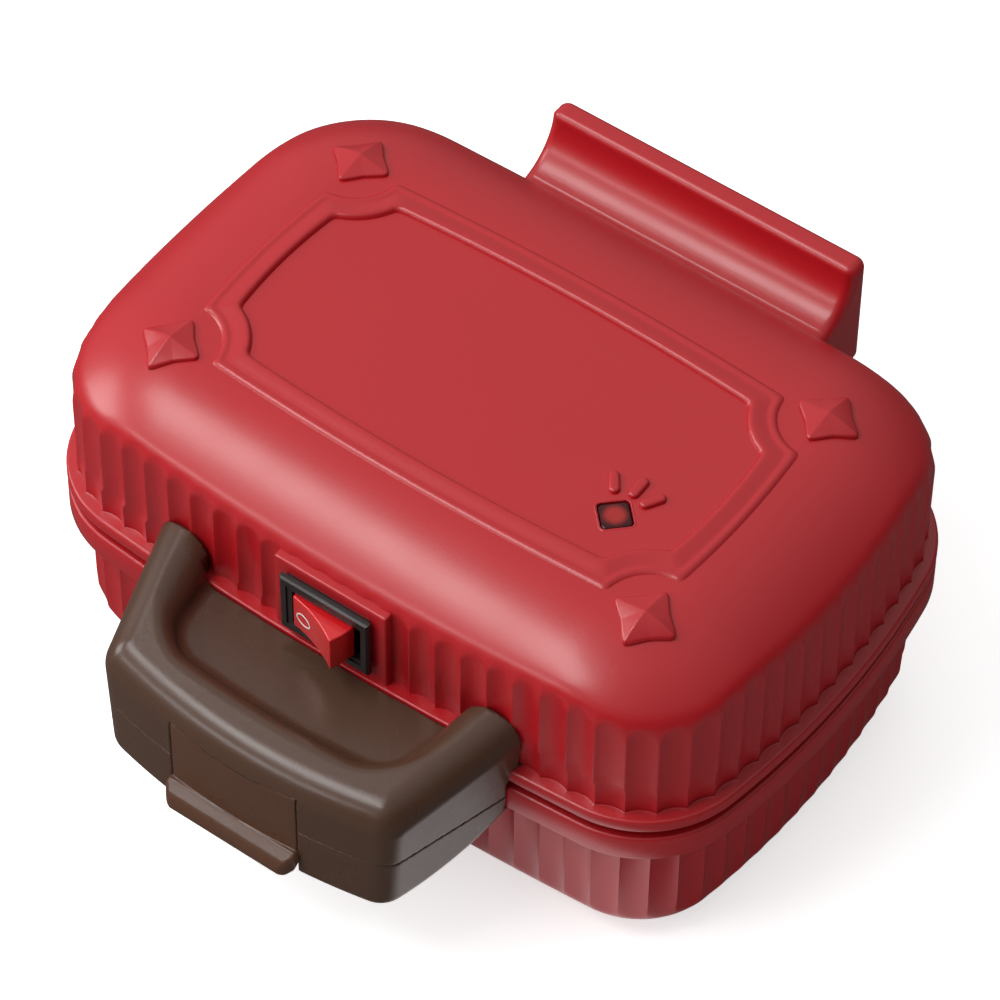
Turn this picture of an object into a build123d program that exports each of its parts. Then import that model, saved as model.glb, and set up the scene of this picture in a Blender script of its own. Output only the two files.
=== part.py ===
from build123d import *
import math
import os

os.makedirs("parts", exist_ok=True)

# Body outline seen from above, at the outer edge of the rims
HALF_WIDTH = 82.0
HALF_DEPTH = 55.4
CORNER_RADIUS = 23.8
FRONT_RADIUS = 699.0
SIDE_RADIUS = 197.0

# Heights above the table
BASE_BOTTOM = 3.0
BASE_RIM_BOTTOM = 34.3
BASE_RIM_TOP = 40.6
SEAM_HEIGHT = 2.4
LEDGE_HEIGHT = 3.0
LID_TOP = 80.6
LID_BOTTOM = BASE_RIM_TOP + SEAM_HEIGHT
LID_LEDGE = LID_BOTTOM + LEDGE_HEIGHT

# Walls, measured inwards from the outline
LID_WALL_INSET = 2.1
LID_CAVITY_INSET = 5.4
LID_ROOF = 3.0
CAVITY_BEVEL = 14.0
BASE_WALL_INSET = 4.1
BASE_CAVITY_INSET = 7.2
BASE_FLOOR = 2.5
BASE_BEVEL = 6.0
BASE_CAVITY_BEVEL = 4.5
RIM_BEVEL = 0.6

# Flutes in the two walls, and the band where the lid's run out
FLUTES = 80
FLUTE_DEPTH = 0.95
ENVELOPE_GAP = 0.1
CROWN_DROP = 15.1
CROWN_HEIGHT = 4.0
CROWN_INSET = 4.0

# Dome above the lid wall
DOME_REACH = 23.7
DOME_RADIUS = 30.0
DOME_CORNER = 8.0
SHOULDER_DROP = 13.1
SHOULDER_HEIGHT = 14.0
SHOULDER_LEAN = 5.2

# Raised border, corner studs, pilot lamp and light dashes on the lid top
BORDER_FROM_SIDE = 25.1
BORDER_FROM_FRONT = 25.8
BORDER_BOW_X = 1.0
BORDER_BOW_Y = 1.6
BORDER_NOTCH = 10.0
BORDER_WIDTH = 6.0
BORDER_HEIGHT = 0.9
BORDER_SLOPE = 2.2
BORDER_Y = -1.1
BORDER_SINK = 0.4
STUD_BACK_X = 0.65
STUD_OUT_Y = 0.57
STUD_REACH = 7.5
STUD_WAIST = 3.1
STUD_HEIGHT = 2.2
STUD_SINK = 1.6
STUD_FOOT = 0.3
STUD_POINT = 0.3
LAMP_FROM_BORDER_X = 19.4
LAMP_FROM_BORDER_Y = 14.9
LAMP_WIDTH = 5.55
LAMP_ROUND = 0.9
LAMP_RISE = 0.7
LAMP_FLANGE = 1.0
LAMP_FLANGE_THICK = 0.6
LAMP_FIT = 0.05
NEON_RADIUS = 2.0
NEON_LENGTH = 12.0
DASH_LENGTH = 5.0
DASH_WIDTH = 1.9
DASH_HEIGHT = 0.7
DASH_SINK = 0.5
DASH_RING = 7.7
DASH_BEARINGS = (127, 92, 60)

# Rocker switch on the front wall
BOSS_HALF_X = 12.9
BOSS_BELOW = 9.8
BOSS_ABOVE = 10.5
BOSS_BACK = 8.4
BOSS_FACE = 0.2
SWITCH_SHARE = 0.471
BEZEL_X = 21.0
BEZEL_Z = 15.0
BEZEL_THICK = 1.3
BEZEL_BEVEL = 0.4
CUTOUT_X = 19.2
CUTOUT_Z = 13.0
CUTOUT_FIT = 0.1
SWITCH_DEPTH = 13.0
SWITCH_WALL = 2.5
TERMINAL_X = 6.5
TERMINAL_HALF_THICK = 0.4
TERMINAL_HALF_WIDTH = 2.4
TERMINAL_LENGTH = 6.0
ROCKER_HALF_X = 7.6
ROCKER_Z = 10.6
ROCKER_TILT = 12.5
ROCKER_WINDOW_X = 17.8
ROCKER_WINDOW_Z = 11.2
ROCKER_PIVOT_DEPTH = 4.6
ROCKER_STANDS = 0.6
ROCKER_TAPER = 0.9
ROCKER_CHIN = 2.2
ROCKER_AXLE_RADIUS = 1.2
ROCKER_AXLE = 12.0
RUNNING_GAP = 0.05

# Hinge at the back, under a hollow roll
HINGE_BEHIND = 8.1
HINGE_ABOVE = 1.5
HINGE_HEAD = 4.8
EAR_LESS = 0.4
HINGE_ROD_RADIUS = 1.5
HINGE_ROD_PROUD = 1.0
HOUSING_FROM_SIDE = 44.8
HOUSING_BEHIND = 8.5
HOUSING_LIFT = 5.0
HOUSING_INSIDE = 5.4
HOUSING_WALL = 3.0
POCKET_ROOF = 4.4
POCKET_FRONT = 2.1
SCOOP_DROP = 5.1
SCOOP_LOW_DROP = 16.2
SCOOP_LIP = 3.0
SCOOP_LIP_DROP = 1.5
SCOOP_FLAT = 3.1
SCOOP_SAG = 2.6
LUG_WIDTH = 6.4
LUG_FROM_END = 11.8
EAR_WIDTH = 6.0
EAR_FROM_END = 5.2
LUG_ROOT = 5.4
LUG_FOOT = 12.6
LUG_RISE = 1.6

# Handle in two halves, with the latch in its front
HANDLE_SEAM_DROP = 2.2
HANDLE_SEAM_GAP = 0.4
HANDLE_LOWER_HEIGHT = 14.4
LOWER_ROUND = 2.5
HANDLE_FRONT = 85.8
HANDLE_BOW = 144.6
HANDLE_ROOT_X = 43.8
HANDLE_TAPER_SIDE = 3.5
HANDLE_TAPER_KNEE = 3.3
HANDLE_TAPER_FRONT = 7.8
HANDLE_ROOT_IN = 5.4
HANDLE_KNEE_OUT = 0.1
HANDLE_NECK_OUT = 4.6
HANDLE_CORNER = 7.5
HANDLE_TOP_AT_LID = 27.0
HANDLE_TOP_AT_FRONT = 9.2
HANDLE_SLOPE_START = 10.4
HANDLE_SLOPE_PAST = 9.2
HANDLE_ROUND = 7.0
HANDLE_WALL = 2.8
HANDLE_FRONT_WALL = 9.0
RECESS_LIFT = 9.6
RECESS_BEHIND = 13.3
RECESS_SAG = 1.8
RECESS_SIDE = 17.3
RECESS_CORNER = 7.0
RECESS_DRAFT = 14.0
RECESS_HIGH = 25.0
LEVEL_ENOUGH = 0.7
HOLLOW_SIDE = 5.0
HOLLOW_BACK = 3.1
RIM_CLEARANCE = 0.4
RISE_START = 7.8
RISE_END = 8.4
RISE_LEFT = 1.0
BRACKET_HALF_X = 22.0
BRACKET_OUT = 6.6
BRACKET_LIFT = 3.0
LATCH_HALF_X = 14.8
LATCH_SIDE_GAP = 0.7
LATCH_PIN_IN = 5.3
LATCH_PIN_UP = 5.1
LATCH_PIN_RADIUS = 1.5
LATCH_PIN_PROUD = 3.7
LATCH_SWING = 5.6
LATCH_SWING_GAP = 0.6
LATCH_BACK_IN = 4.4
LATCH_PANEL_BACK = 1.9
LATCH_FLUSH = 0.15
LATCH_CHEEK = 2.8
CATCH_HALF_X = 9.0
CATCH_REACH = 1.4
CATCH_ROOT = 1.0
CATCH_HEIGHT = 2.6
CATCH_FACE = 1.6
CATCH_DROP = 6.8
HOOK_GAP = 0.4
HOOK_DROP = 0.6
HOOK_FACE = 0.8
HOOK_ROOT = 2.5
LIP_PROUD = 3.2
LIP_OUT_X = 1.0
LIP_SLANT_X = 1.6
LIP_DROP = 5.8
LIP_FALL = 5.0
LIP_THICK = 1.2
LIP_ROOT = 3.0
LIP_CORNER = 1.2
LIP_KNEE = 0.6

# Plates, frames and what heats them
PLATE_INSET = 11.5
PLATE_GAP = 0.4
PLATE_RIM = 2.6
POCKET_FROM_SIDE = 22.0
POCKET_FROM_FRONT = 21.4
POCKET_CORNER = 10.0
POCKET_DEPTH = 12.5
POCKET_WALL = 2.4
POCKET_DRAFT = 10.0
FRAME_LIP = 1.0
FRAME_INSET = 3.0
FRAME_SEAT = 2.4
FRAME_SHELF = 2.5
PLATE_CLEAR = 0.3
HEATER_RADIUS = 3.2
HEATER_IN_X = 14.0
HEATER_IN_Y = 12.0
HEATER_BEND = 14.0
REFLECTOR_IN = 4.0
REFLECTOR_THICK = 1.0
THERMOSTAT_RADIUS = 7.5
THERMOSTAT_HEIGHT = 7.0
THERMOSTAT_X = 14.0
THERMOSTAT_TAB = 2.5
FUSE_RADIUS = 2.0
FUSE_LENGTH = 14.0
FUSE_X = 18.0
FUSE_CLIP = 0.8

# Gland, feet and screws
GLAND_Z = 17.0
GLAND_RADIUS = 4.5
GLAND_BORE = 1.9
GLAND_LENGTH = 8.0
GLAND_IN = 5.2
FOOT_RADIUS = 6.5
FOOT_FROM_SIDE = 24.0
FOOT_FROM_FRONT = 23.4
SCREW_RADIUS = 3.0
SCREW_SINK = 1.5
SCREW_GAP = 0.2
SCREW_FROM_SIDE = 38.0
SCREW_FROM_FRONT = 21.4

# Places that follow from the sizes above
BORDER_HALF_X = HALF_WIDTH - BORDER_FROM_SIDE
BORDER_HALF_Y = HALF_DEPTH - BORDER_FROM_FRONT
STUD_X = BORDER_HALF_X - STUD_BACK_X
STUD_Y = BORDER_HALF_Y + STUD_OUT_Y
LAMP_X = BORDER_HALF_X - LAMP_FROM_BORDER_X
LAMP_Y = LAMP_FROM_BORDER_Y - BORDER_HALF_Y
SWITCH_Z = LID_BOTTOM + (LID_TOP - LID_BOTTOM) * SWITCH_SHARE
BOSS_FACE_Y = BOSS_FACE - HALF_DEPTH
BEZEL_FACE_Y = BOSS_FACE_Y - BEZEL_THICK
PIVOT_Y = BEZEL_FACE_Y + ROCKER_PIVOT_DEPTH
HINGE_Y = HALF_DEPTH + HINGE_BEHIND
HINGE_Z = LID_BOTTOM + HINGE_ABOVE
HOUSING_HALF_X = HALF_WIDTH - HOUSING_FROM_SIDE
HOUSING_BACK = HINGE_Y + HOUSING_BEHIND
HOUSING_BOTTOM = LID_BOTTOM + HOUSING_LIFT
HOUSING_FRONT = HALF_DEPTH - HOUSING_INSIDE
SCOOP_TOP = LID_TOP - SCOOP_DROP
SCOOP_LOW = LID_TOP - SCOOP_LOW_DROP
POCKET_TOP = SCOOP_LOW - POCKET_ROOF
EAR_OUTER_X = HOUSING_HALF_X - EAR_FROM_END
LUG_OUTER_X = HOUSING_HALF_X - LUG_FROM_END
HANDLE_SEAM = BASE_RIM_TOP - HANDLE_SEAM_DROP
UPPER_FLOOR = HANDLE_SEAM + HANDLE_SEAM_GAP / 2
LOWER_ROOF = HANDLE_SEAM - HANDLE_SEAM_GAP / 2
HANDLE_BOTTOM = HANDLE_SEAM - HANDLE_LOWER_HEIGHT
HANDLE_FRONT_X = HANDLE_ROOT_X - HANDLE_TAPER_FRONT
RECESS_HALF_X = HANDLE_ROOT_X - RECESS_SIDE
RECESS_FRONT = HANDLE_FRONT - RECESS_BEHIND
RECESS_FLOOR = HANDLE_SEAM + RECESS_LIFT
LATCH_PIN_Y = LATCH_PIN_IN - HANDLE_FRONT
LATCH_PIN_Z = HANDLE_SEAM + LATCH_PIN_UP
LATCH_BACK = HANDLE_FRONT - LATCH_BACK_IN
LATCH_SLOT_X = LATCH_HALF_X + LATCH_SIDE_GAP
LIP_HALF_X = LATCH_HALF_X + LIP_OUT_X
LIP_TOP = HANDLE_SEAM - LIP_DROP
FRONT_REACH = HANDLE_FRONT + LIP_PROUD
PLATE_SEAM = BASE_RIM_TOP + SEAM_HEIGHT / 2
POCKET_HALF_X = HALF_WIDTH - POCKET_FROM_SIDE
POCKET_HALF_Y = HALF_DEPTH - POCKET_FROM_FRONT
POCKET_BACK = PLATE_GAP / 2 + POCKET_DEPTH + POCKET_WALL
REFLECTOR_NEAR = POCKET_BACK + 2 * HEATER_RADIUS
GLAND_Y = HALF_DEPTH - GLAND_IN

# Everything moves by this at the end, so that the box is centred in Y
SHIFT_Y = (FRONT_REACH - HOUSING_BACK) / 2
FAR = 4 * HALF_WIDTH


def unit(vx, vy):
    size = math.hypot(vx, vy)
    return vx / size, vy / size


def corner_centre():
    """Centre of the corner arc that runs into the front and the side arc."""
    front_c = (0.0, HALF_DEPTH - FRONT_RADIUS)
    side_c = (HALF_WIDTH - SIDE_RADIUS, 0.0)
    to_front = FRONT_RADIUS - CORNER_RADIUS
    to_side = SIDE_RADIUS - CORNER_RADIUS
    span = math.hypot(side_c[0] - front_c[0], side_c[1] - front_c[1])
    ux, uy = unit(side_c[0] - front_c[0], side_c[1] - front_c[1])
    along = (to_front**2 - to_side**2 + span**2) / (2 * span)
    across = math.sqrt(to_front**2 - along**2)
    options = [(front_c[0] + along * ux - s * across * uy,
                front_c[1] + along * uy + s * across * ux) for s in (1, -1)]
    return max(options, key=lambda c: c[0] + c[1]), front_c, side_c


CORNER_C, FRONT_C, SIDE_C = corner_centre()
SIDE_ANGLE = math.atan2(CORNER_C[1] - SIDE_C[1], CORNER_C[0] - SIDE_C[0])
FRONT_ANGLE = math.atan2(CORNER_C[1] - FRONT_C[1], CORNER_C[0] - FRONT_C[0])


def on_arc(centre, radius, angle):
    return (centre[0] + radius * math.cos(angle), centre[1] + radius * math.sin(angle))


def outline_wire(inset, z=0.0):
    side_r = SIDE_RADIUS - inset
    front_r = FRONT_RADIUS - inset
    corner_r = CORNER_RADIUS - inset
    low = on_arc(CORNER_C, corner_r, SIDE_ANGLE)
    mid = on_arc(CORNER_C, corner_r, (SIDE_ANGLE + FRONT_ANGLE) / 2)
    high = on_arc(CORNER_C, corner_r, FRONT_ANGLE)
    east = on_arc(SIDE_C, side_r, 0)
    north = on_arc(FRONT_C, front_r, math.pi / 2)
    edges = []
    for sx, sy in ((1, 1), (-1, 1), (-1, -1), (1, -1)):
        a, m, b = [(p[0] * sx, p[1] * sy, z) for p in (low, mid, high)]
        edges.append(ThreePointArc(a, m, b))
    for sx in (1, -1):
        edges.append(ThreePointArc((low[0] * sx, -low[1], z), (east[0] * sx, 0, z),
                                   (low[0] * sx, low[1], z)))
    for sy in (1, -1):
        edges.append(ThreePointArc((high[0], high[1] * sy, z), (0, north[1] * sy, z),
                                   (-high[0], high[1] * sy, z)))
    return Wire(edges)


def between(face, z0, z1):
    """The face swept upwards from the lower height to the higher one."""
    low, high = min(z0, z1), max(z0, z1)
    return extrude(Pos(0, 0, low) * face, amount=high - low, dir=(0, 0, 1))


def slab(inset, bottom, top):
    """Solid slab with the body's outline."""
    return between(make_face(outline_wire(inset)), bottom, top)


def ring(outer, inner, bottom, top):
    return slab(outer, bottom, top) - slab(inner, bottom - RIM_BEVEL, top + RIM_BEVEL)


def belt(inset0, z0, inset1, z1):
    """Leaning band between two heights, solid inside."""
    return loft([make_face(outline_wire(inset0, z0)), make_face(outline_wire(inset1, z1))], ruled=True)


def flute_places(inset):
    """Points and outward directions, evenly spaced round the outline from +X."""
    side_r = SIDE_RADIUS - inset
    front_r = FRONT_RADIUS - inset
    corner_r = CORNER_RADIUS - inset
    side_len = side_r * SIDE_ANGLE
    corner_len = corner_r * (FRONT_ANGLE - SIDE_ANGLE)
    front_len = front_r * (math.pi / 2 - FRONT_ANGLE)
    quarter = side_len + corner_len + front_len

    def place(s):
        if s <= side_len:
            angle, centre, radius = s / side_r, SIDE_C, side_r
        elif s <= side_len + corner_len:
            angle, centre, radius = SIDE_ANGLE + (s - side_len) / corner_r, CORNER_C, corner_r
        else:
            rest = s - side_len - corner_len
            angle, centre, radius = FRONT_ANGLE + rest / front_r, FRONT_C, front_r
        return on_arc(centre, radius, angle), (math.cos(angle), math.sin(angle))

    steps = FLUTES // 4 * 2
    first = [place(quarter * i / steps) for i in range(steps + 1)]
    loop = list(first)
    loop += [((-p[0], p[1]), (-n[0], n[1])) for p, n in reversed(first[:-1])]
    loop += [((-p[0], -p[1]), (-n[0], -n[1])) for p, n in first[1:]]
    loop += [((p[0], -p[1]), (n[0], -n[1])) for p, n in reversed(first[1:-1])]
    return loop


def fluted_face(inset):
    """Outline with flutes, each one two flats that meet at its bottom."""
    points = []
    for i, ((x, y), (nx, ny)) in enumerate(flute_places(inset)):
        depth = FLUTE_DEPTH * (i % 2)
        points.append((x - nx * depth, y - ny * depth))
    return make_face(Polyline(*points, close=True))


def block(x0, x1, y0, y1, z0, z1):
    return Pos((x0 + x1) / 2, (y0 + y1) / 2, (z0 + z1) / 2) * Box(x1 - x0, y1 - y0, z1 - z0)


def side_prism(points, x0, x1):
    """Prism along X from a closed line of (y, z) points."""
    line = Polyline(*[(x0, y, z) for y, z in points], close=True)
    return extrude(make_face(line), amount=x1 - x0, dir=(1, 0, 0))


def rod_x(radius, x0, x1, y, z):
    return Pos((x0 + x1) / 2, y, z) * Rot(0, 90, 0) * Cylinder(radius, x1 - x0)


def rod_y(radius, length, x, y, z):
    return Pos(x, y, z) * Rot(90, 0, 0) * Cylinder(radius, length)


def rod_z(radius, x, y, z0, z1):
    return Pos(x, y, (z0 + z1) / 2) * Cylinder(radius, z1 - z0)


def keep_largest(shape):
    return shape.solids().sort_by(SortBy.VOLUME)[-1]


def top_face(shape):
    return shape.faces().sort_by(Axis.Z)[-1]


def bottom_face(shape):
    return shape.faces().sort_by(Axis.Z)[0]


# Lid: soft dome with a fluted wall round it
def cushion():
    """Flat-topped cushion whose sides fall away in one arc."""
    flat_x = HALF_WIDTH - LID_WALL_INSET - DOME_REACH
    flat_y = HALF_DEPTH - LID_WALL_INSET - DOME_REACH
    plan = RectangleRounded(2 * (flat_x + DOME_RADIUS), 2 * (flat_y + DOME_RADIUS),
                            DOME_RADIUS + DOME_CORNER)
    body = between(plan, LID_TOP - DOME_RADIUS, LID_TOP)
    body = fillet(top_face(body).edges(), DOME_RADIUS - ENVELOPE_GAP)
    return body + between(plan, LID_LEDGE, LID_TOP - DOME_RADIUS)


SMOOTH_INSET = LID_WALL_INSET + FLUTE_DEPTH
CROWN_BOTTOM = LID_TOP - CROWN_DROP
SHOULDER_BOTTOM = LID_TOP - SHOULDER_DROP
shoulder = slab(SMOOTH_INSET, LID_BOTTOM + LEDGE_HEIGHT / 2, SHOULDER_BOTTOM)
shoulder = shoulder + belt(SMOOTH_INSET, SHOULDER_BOTTOM, SMOOTH_INSET + SHOULDER_LEAN,
                           SHOULDER_BOTTOM + SHOULDER_HEIGHT)
dome = shoulder & cushion()
band_inset = LID_WALL_INSET - ENVELOPE_GAP
fluted_band = slab(band_inset, LID_BOTTOM, CROWN_BOTTOM)
fluted_band = fluted_band + belt(band_inset, CROWN_BOTTOM, CROWN_INSET, CROWN_BOTTOM + CROWN_HEIGHT)
fluted_band = fluted_band & between(fluted_face(LID_WALL_INSET), LID_BOTTOM, LID_TOP)
flange = slab(0, LID_BOTTOM, LID_LEDGE)
flange = chamfer(top_face(flange).edges(), RIM_BEVEL)
lid_outer = dome + fluted_band + flange

# Roll behind the lid, with the hinge pocket under it
LIP_Z = SCOOP_TOP - SCOOP_LIP_DROP
scoop_back = HOUSING_BACK
scoop_mid = HOUSING_BACK - SCOOP_LIP / 2
scoop_edge = HOUSING_BACK - SCOOP_LIP
scoop_foot = HALF_DEPTH + SCOOP_FLAT
sag_y = (scoop_edge + scoop_foot) / 2 + SCOOP_SAG / 2
sag_z = (LIP_Z + SCOOP_LOW) / 2 - SCOOP_SAG
scoop_line = [Line((HOUSING_FRONT, HOUSING_BOTTOM), (scoop_back, HOUSING_BOTTOM)),
              Line((scoop_back, HOUSING_BOTTOM), (scoop_back, LIP_Z)),
              ThreePointArc((scoop_back, LIP_Z), (scoop_mid, SCOOP_TOP), (scoop_edge, LIP_Z)),
              ThreePointArc((scoop_edge, LIP_Z), (sag_y, sag_z), (scoop_foot, SCOOP_LOW)),
              Line((scoop_foot, SCOOP_LOW), (HOUSING_FRONT, SCOOP_LOW)),
              Line((HOUSING_FRONT, SCOOP_LOW), (HOUSING_FRONT, HOUSING_BOTTOM))]
scoop_face = Plane.YZ * make_face(scoop_line)
scoop = Pos(-HOUSING_HALF_X, 0, 0) * extrude(scoop_face, amount=2 * HOUSING_HALF_X, dir=(1, 0, 0))
lid_outer = lid_outer + scoop

# Switch boss
lid_outer = lid_outer + block(-BOSS_HALF_X, BOSS_HALF_X, BOSS_FACE_Y, BOSS_FACE_Y + BOSS_BACK,
                              SWITCH_Z - BOSS_BELOW, SWITCH_Z + BOSS_ABOVE)


# Border, studs and dashes on the lid top
def border_face(inset):
    """Bowed frame outline with round notches at its corners."""
    half_x, half_y = BORDER_HALF_X - inset, BORDER_HALF_Y - inset
    notch = BORDER_NOTCH + inset
    cut = math.sqrt(notch**2 - inset**2)
    end_x, end_y = BORDER_HALF_X - cut, BORDER_HALF_Y - cut
    edges = []
    for sign in (1, -1):
        edges.append(ThreePointArc((sign * half_x, -sign * end_y), (sign * (half_x + BORDER_BOW_X), 0),
                                   (sign * half_x, sign * end_y)))
        edges.append(ThreePointArc((sign * end_x, sign * half_y), (0, sign * (half_y + BORDER_BOW_Y)),
                                   (-sign * end_x, sign * half_y)))
    middle = notch * math.sqrt(0.5)
    for sx in (1, -1):
        for sy in (1, -1):
            edges.append(ThreePointArc((sx * half_x, sy * end_y),
                                       (sx * (BORDER_HALF_X - middle), sy * (BORDER_HALF_Y - middle)),
                                       (sx * end_x, sy * half_y)))
    return Pos(0, BORDER_Y) * make_face(Wire(edges))


border_foot = LID_TOP - BORDER_SINK
border_top = LID_TOP + BORDER_HEIGHT
border = loft([Pos(0, 0, border_foot) * border_face(0), Pos(0, 0, border_top) * border_face(BORDER_SLOPE)],
              ruled=True)
border = border - loft([Pos(0, 0, border_foot) * border_face(BORDER_WIDTH),
                        Pos(0, 0, border_top) * border_face(BORDER_WIDTH - BORDER_SLOPE)], ruled=True)
lid_outer = lid_outer + border


def star(scale, z):
    """Eight-cornered star outline at a height."""
    points = []
    for k in range(4):
        tip, waist = math.pi / 2 * k, math.pi / 2 * k + math.pi / 4
        points.append((STUD_REACH * scale * math.cos(tip), STUD_REACH * scale * math.sin(tip), z))
        reach = STUD_WAIST * math.sqrt(2) * scale
        points.append((reach * math.cos(waist), reach * math.sin(waist), z))
    return make_face(Polyline(*points, close=True))


STUD_RIM = LID_TOP + STUD_FOOT
stud = between(star(1, 0), LID_TOP - STUD_SINK, STUD_RIM)
stud = stud + loft([star(1, STUD_RIM), star(STUD_POINT / STUD_REACH, LID_TOP + STUD_HEIGHT)], ruled=True)
for sx in (1, -1):
    for sy in (1, -1):
        lid_outer = lid_outer + Pos(sx * STUD_X, sy * STUD_Y + BORDER_Y, 0) * stud

dash = between(SlotOverall(DASH_LENGTH, DASH_WIDTH), LID_TOP - DASH_SINK, LID_TOP + DASH_HEIGHT)
for bearing in DASH_BEARINGS:
    away = math.radians(bearing)
    place = Pos(LAMP_X + DASH_RING * math.cos(away), LAMP_Y + DASH_RING * math.sin(away), 0)
    lid_outer = lid_outer + place * Rot(0, 0, bearing) * dash

# Hollow the lid, and cut the windows
cavity = slab(LID_CAVITY_INSET, LID_BOTTOM - LID_ROOF, LID_TOP - LID_ROOF)
cavity = chamfer(top_face(cavity).edges(), CAVITY_BEVEL)
lid_shell = lid_outer - cavity
lid_shell = lid_shell - block(HOUSING_WALL - HOUSING_HALF_X, HOUSING_HALF_X - HOUSING_WALL,
                              HALF_DEPTH + POCKET_FRONT, HOUSING_BACK - HOUSING_WALL,
                              LID_BOTTOM, POCKET_TOP)


def lens_face(grow):
    width = LAMP_WIDTH + 2 * grow
    return Pos(LAMP_X, LAMP_Y) * Rot(0, 0, 45) * RectangleRounded(width, width, LAMP_ROUND + grow)


ROOF_Z = LID_TOP - LID_ROOF
lid_shell = lid_shell - between(lens_face(0), ROOF_Z - LID_ROOF, LID_TOP + LID_ROOF)
lid_shell = lid_shell - block(-CUTOUT_X / 2, CUTOUT_X / 2, BOSS_FACE_Y - BOSS_BACK,
                              BOSS_FACE_Y + SWITCH_DEPTH, SWITCH_Z - CUTOUT_Z / 2, SWITCH_Z + CUTOUT_Z / 2)


def ear(side):
    x0, x1 = sorted((side * (EAR_OUTER_X - EAR_WIDTH), side * EAR_OUTER_X))
    head = HINGE_HEAD - EAR_LESS
    arm = block(x0, x1, HINGE_Y - head, HINGE_Y + head, HINGE_Z, POCKET_TOP + HOUSING_WALL / 2)
    return arm + rod_x(head, x0, x1, HINGE_Y, HINGE_Z)


lid_shell = lid_shell + ear(1) + ear(-1)
lid_shell = lid_shell - rod_x(HINGE_ROD_RADIUS, -HOUSING_HALF_X, HOUSING_HALF_X, HINGE_Y, HINGE_Z)

# Base: fluted wall, bevelled bottom edge and a flush rim
base_round = slab(BASE_WALL_INSET - ENVELOPE_GAP, BASE_BOTTOM, BASE_RIM_BOTTOM + RIM_BEVEL)
base_round = chamfer(bottom_face(base_round).edges(), BASE_BEVEL)
base_wall = between(fluted_face(BASE_WALL_INSET), BASE_BOTTOM, BASE_RIM_BOTTOM + RIM_BEVEL)
base_rim = slab(0, BASE_RIM_BOTTOM, BASE_RIM_TOP)
base_rim = chamfer(top_face(base_rim).edges(), RIM_BEVEL)
base_cavity = slab(BASE_CAVITY_INSET, BASE_BOTTOM + BASE_FLOOR, LID_BOTTOM)
base_cavity = chamfer(bottom_face(base_cavity).edges(), BASE_CAVITY_BEVEL)
base_shell = (base_wall & base_round) + base_rim - base_cavity


def lug(side):
    x0, x1 = sorted((side * (LUG_OUTER_X - LUG_WIDTH), side * LUG_OUTER_X))
    inner = HALF_DEPTH - LUG_ROOT
    outline = [(inner, BASE_RIM_TOP), (HALF_DEPTH, BASE_RIM_TOP),
               (HALF_DEPTH + LUG_RISE, BASE_RIM_TOP + LUG_RISE), (HINGE_Y - HINGE_HEAD, HINGE_Z),
               (HINGE_Y, HINGE_Z), (HINGE_Y, HINGE_Z - HINGE_HEAD),
               (HALF_DEPTH + LUG_RISE, HINGE_Z - HINGE_HEAD * 3), (inner, BASE_RIM_TOP - LUG_FOOT)]
    return side_prism(outline, x0, x1) + rod_x(HINGE_HEAD, x0, x1, HINGE_Y, HINGE_Z)


base_shell = base_shell + (lug(1) - base_cavity) + (lug(-1) - base_cavity)
base_shell = base_shell - rod_x(HINGE_ROD_RADIUS + RUNNING_GAP, -HOUSING_HALF_X, HOUSING_HALF_X,
                                HINGE_Y, HINGE_Z)
base_shell = base_shell - rod_y(GLAND_RADIUS, 2 * GLAND_LENGTH, 0, GLAND_Y, GLAND_Z)


# Handle outline seen from above
def bow_y(x):
    return -HANDLE_FRONT + HANDLE_BOW - math.sqrt(HANDLE_BOW**2 - x**2)


def handle_face(grow=0.0):
    root = (HANDLE_ROOT_X + grow, HANDLE_ROOT_IN - HALF_DEPTH)
    knee = (HANDLE_ROOT_X + grow - HANDLE_TAPER_KNEE, -HALF_DEPTH - HANDLE_KNEE_OUT)
    neck = (HANDLE_ROOT_X + grow - HANDLE_TAPER_SIDE, -HALF_DEPTH - HANDLE_NECK_OUT)
    front = (HANDLE_FRONT_X + grow, bow_y(HANDLE_FRONT_X) - grow)
    edges = [Line(root, (-root[0], root[1])),
             ThreePointArc((-root[0], root[1]), (-knee[0], knee[1]), (-neck[0], neck[1])),
             Line((-neck[0], neck[1]), (-front[0], front[1])),
             ThreePointArc((-front[0], front[1]), (0, -HANDLE_FRONT - grow), front),
             Line(front, neck),
             ThreePointArc(neck, knee, root)]
    sheet = make_face(edges)
    corners = [v for v in sheet.vertices() if v.Y < front[1] + ENVELOPE_GAP]
    return fillet(corners, HANDLE_CORNER + grow)


# Upper half of the handle, fixed to the lid
handle_block = between(handle_face(), UPPER_FLOOR, UPPER_FLOOR + 2 * HANDLE_TOP_AT_LID)
slope_back = HANDLE_SLOPE_START - HALF_DEPTH
slope_front = -HANDLE_FRONT - HANDLE_SLOPE_PAST
slope = side_prism([(slope_front, HANDLE_BOTTOM), (slope_front, HANDLE_SEAM + HANDLE_TOP_AT_FRONT),
                    (slope_back, HANDLE_SEAM + HANDLE_TOP_AT_LID), (slope_back, HANDLE_BOTTOM)],
                   -HALF_WIDTH, HALF_WIDTH)
handle_block = handle_block & slope
root_y = HANDLE_ROOT_IN - HALF_DEPTH
top_edges = [e for e in handle_block.edges() if e.center().Z > UPPER_FLOOR + LATCH_PIN_UP
             and e.center().Y < root_y - ENVELOPE_GAP and abs(e.tangent_at(0.5).Z) < LEVEL_ENOUGH]
handle_block = fillet(top_edges, HANDLE_ROUND)
well_side = RECESS_SAG - RECESS_FRONT
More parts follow.
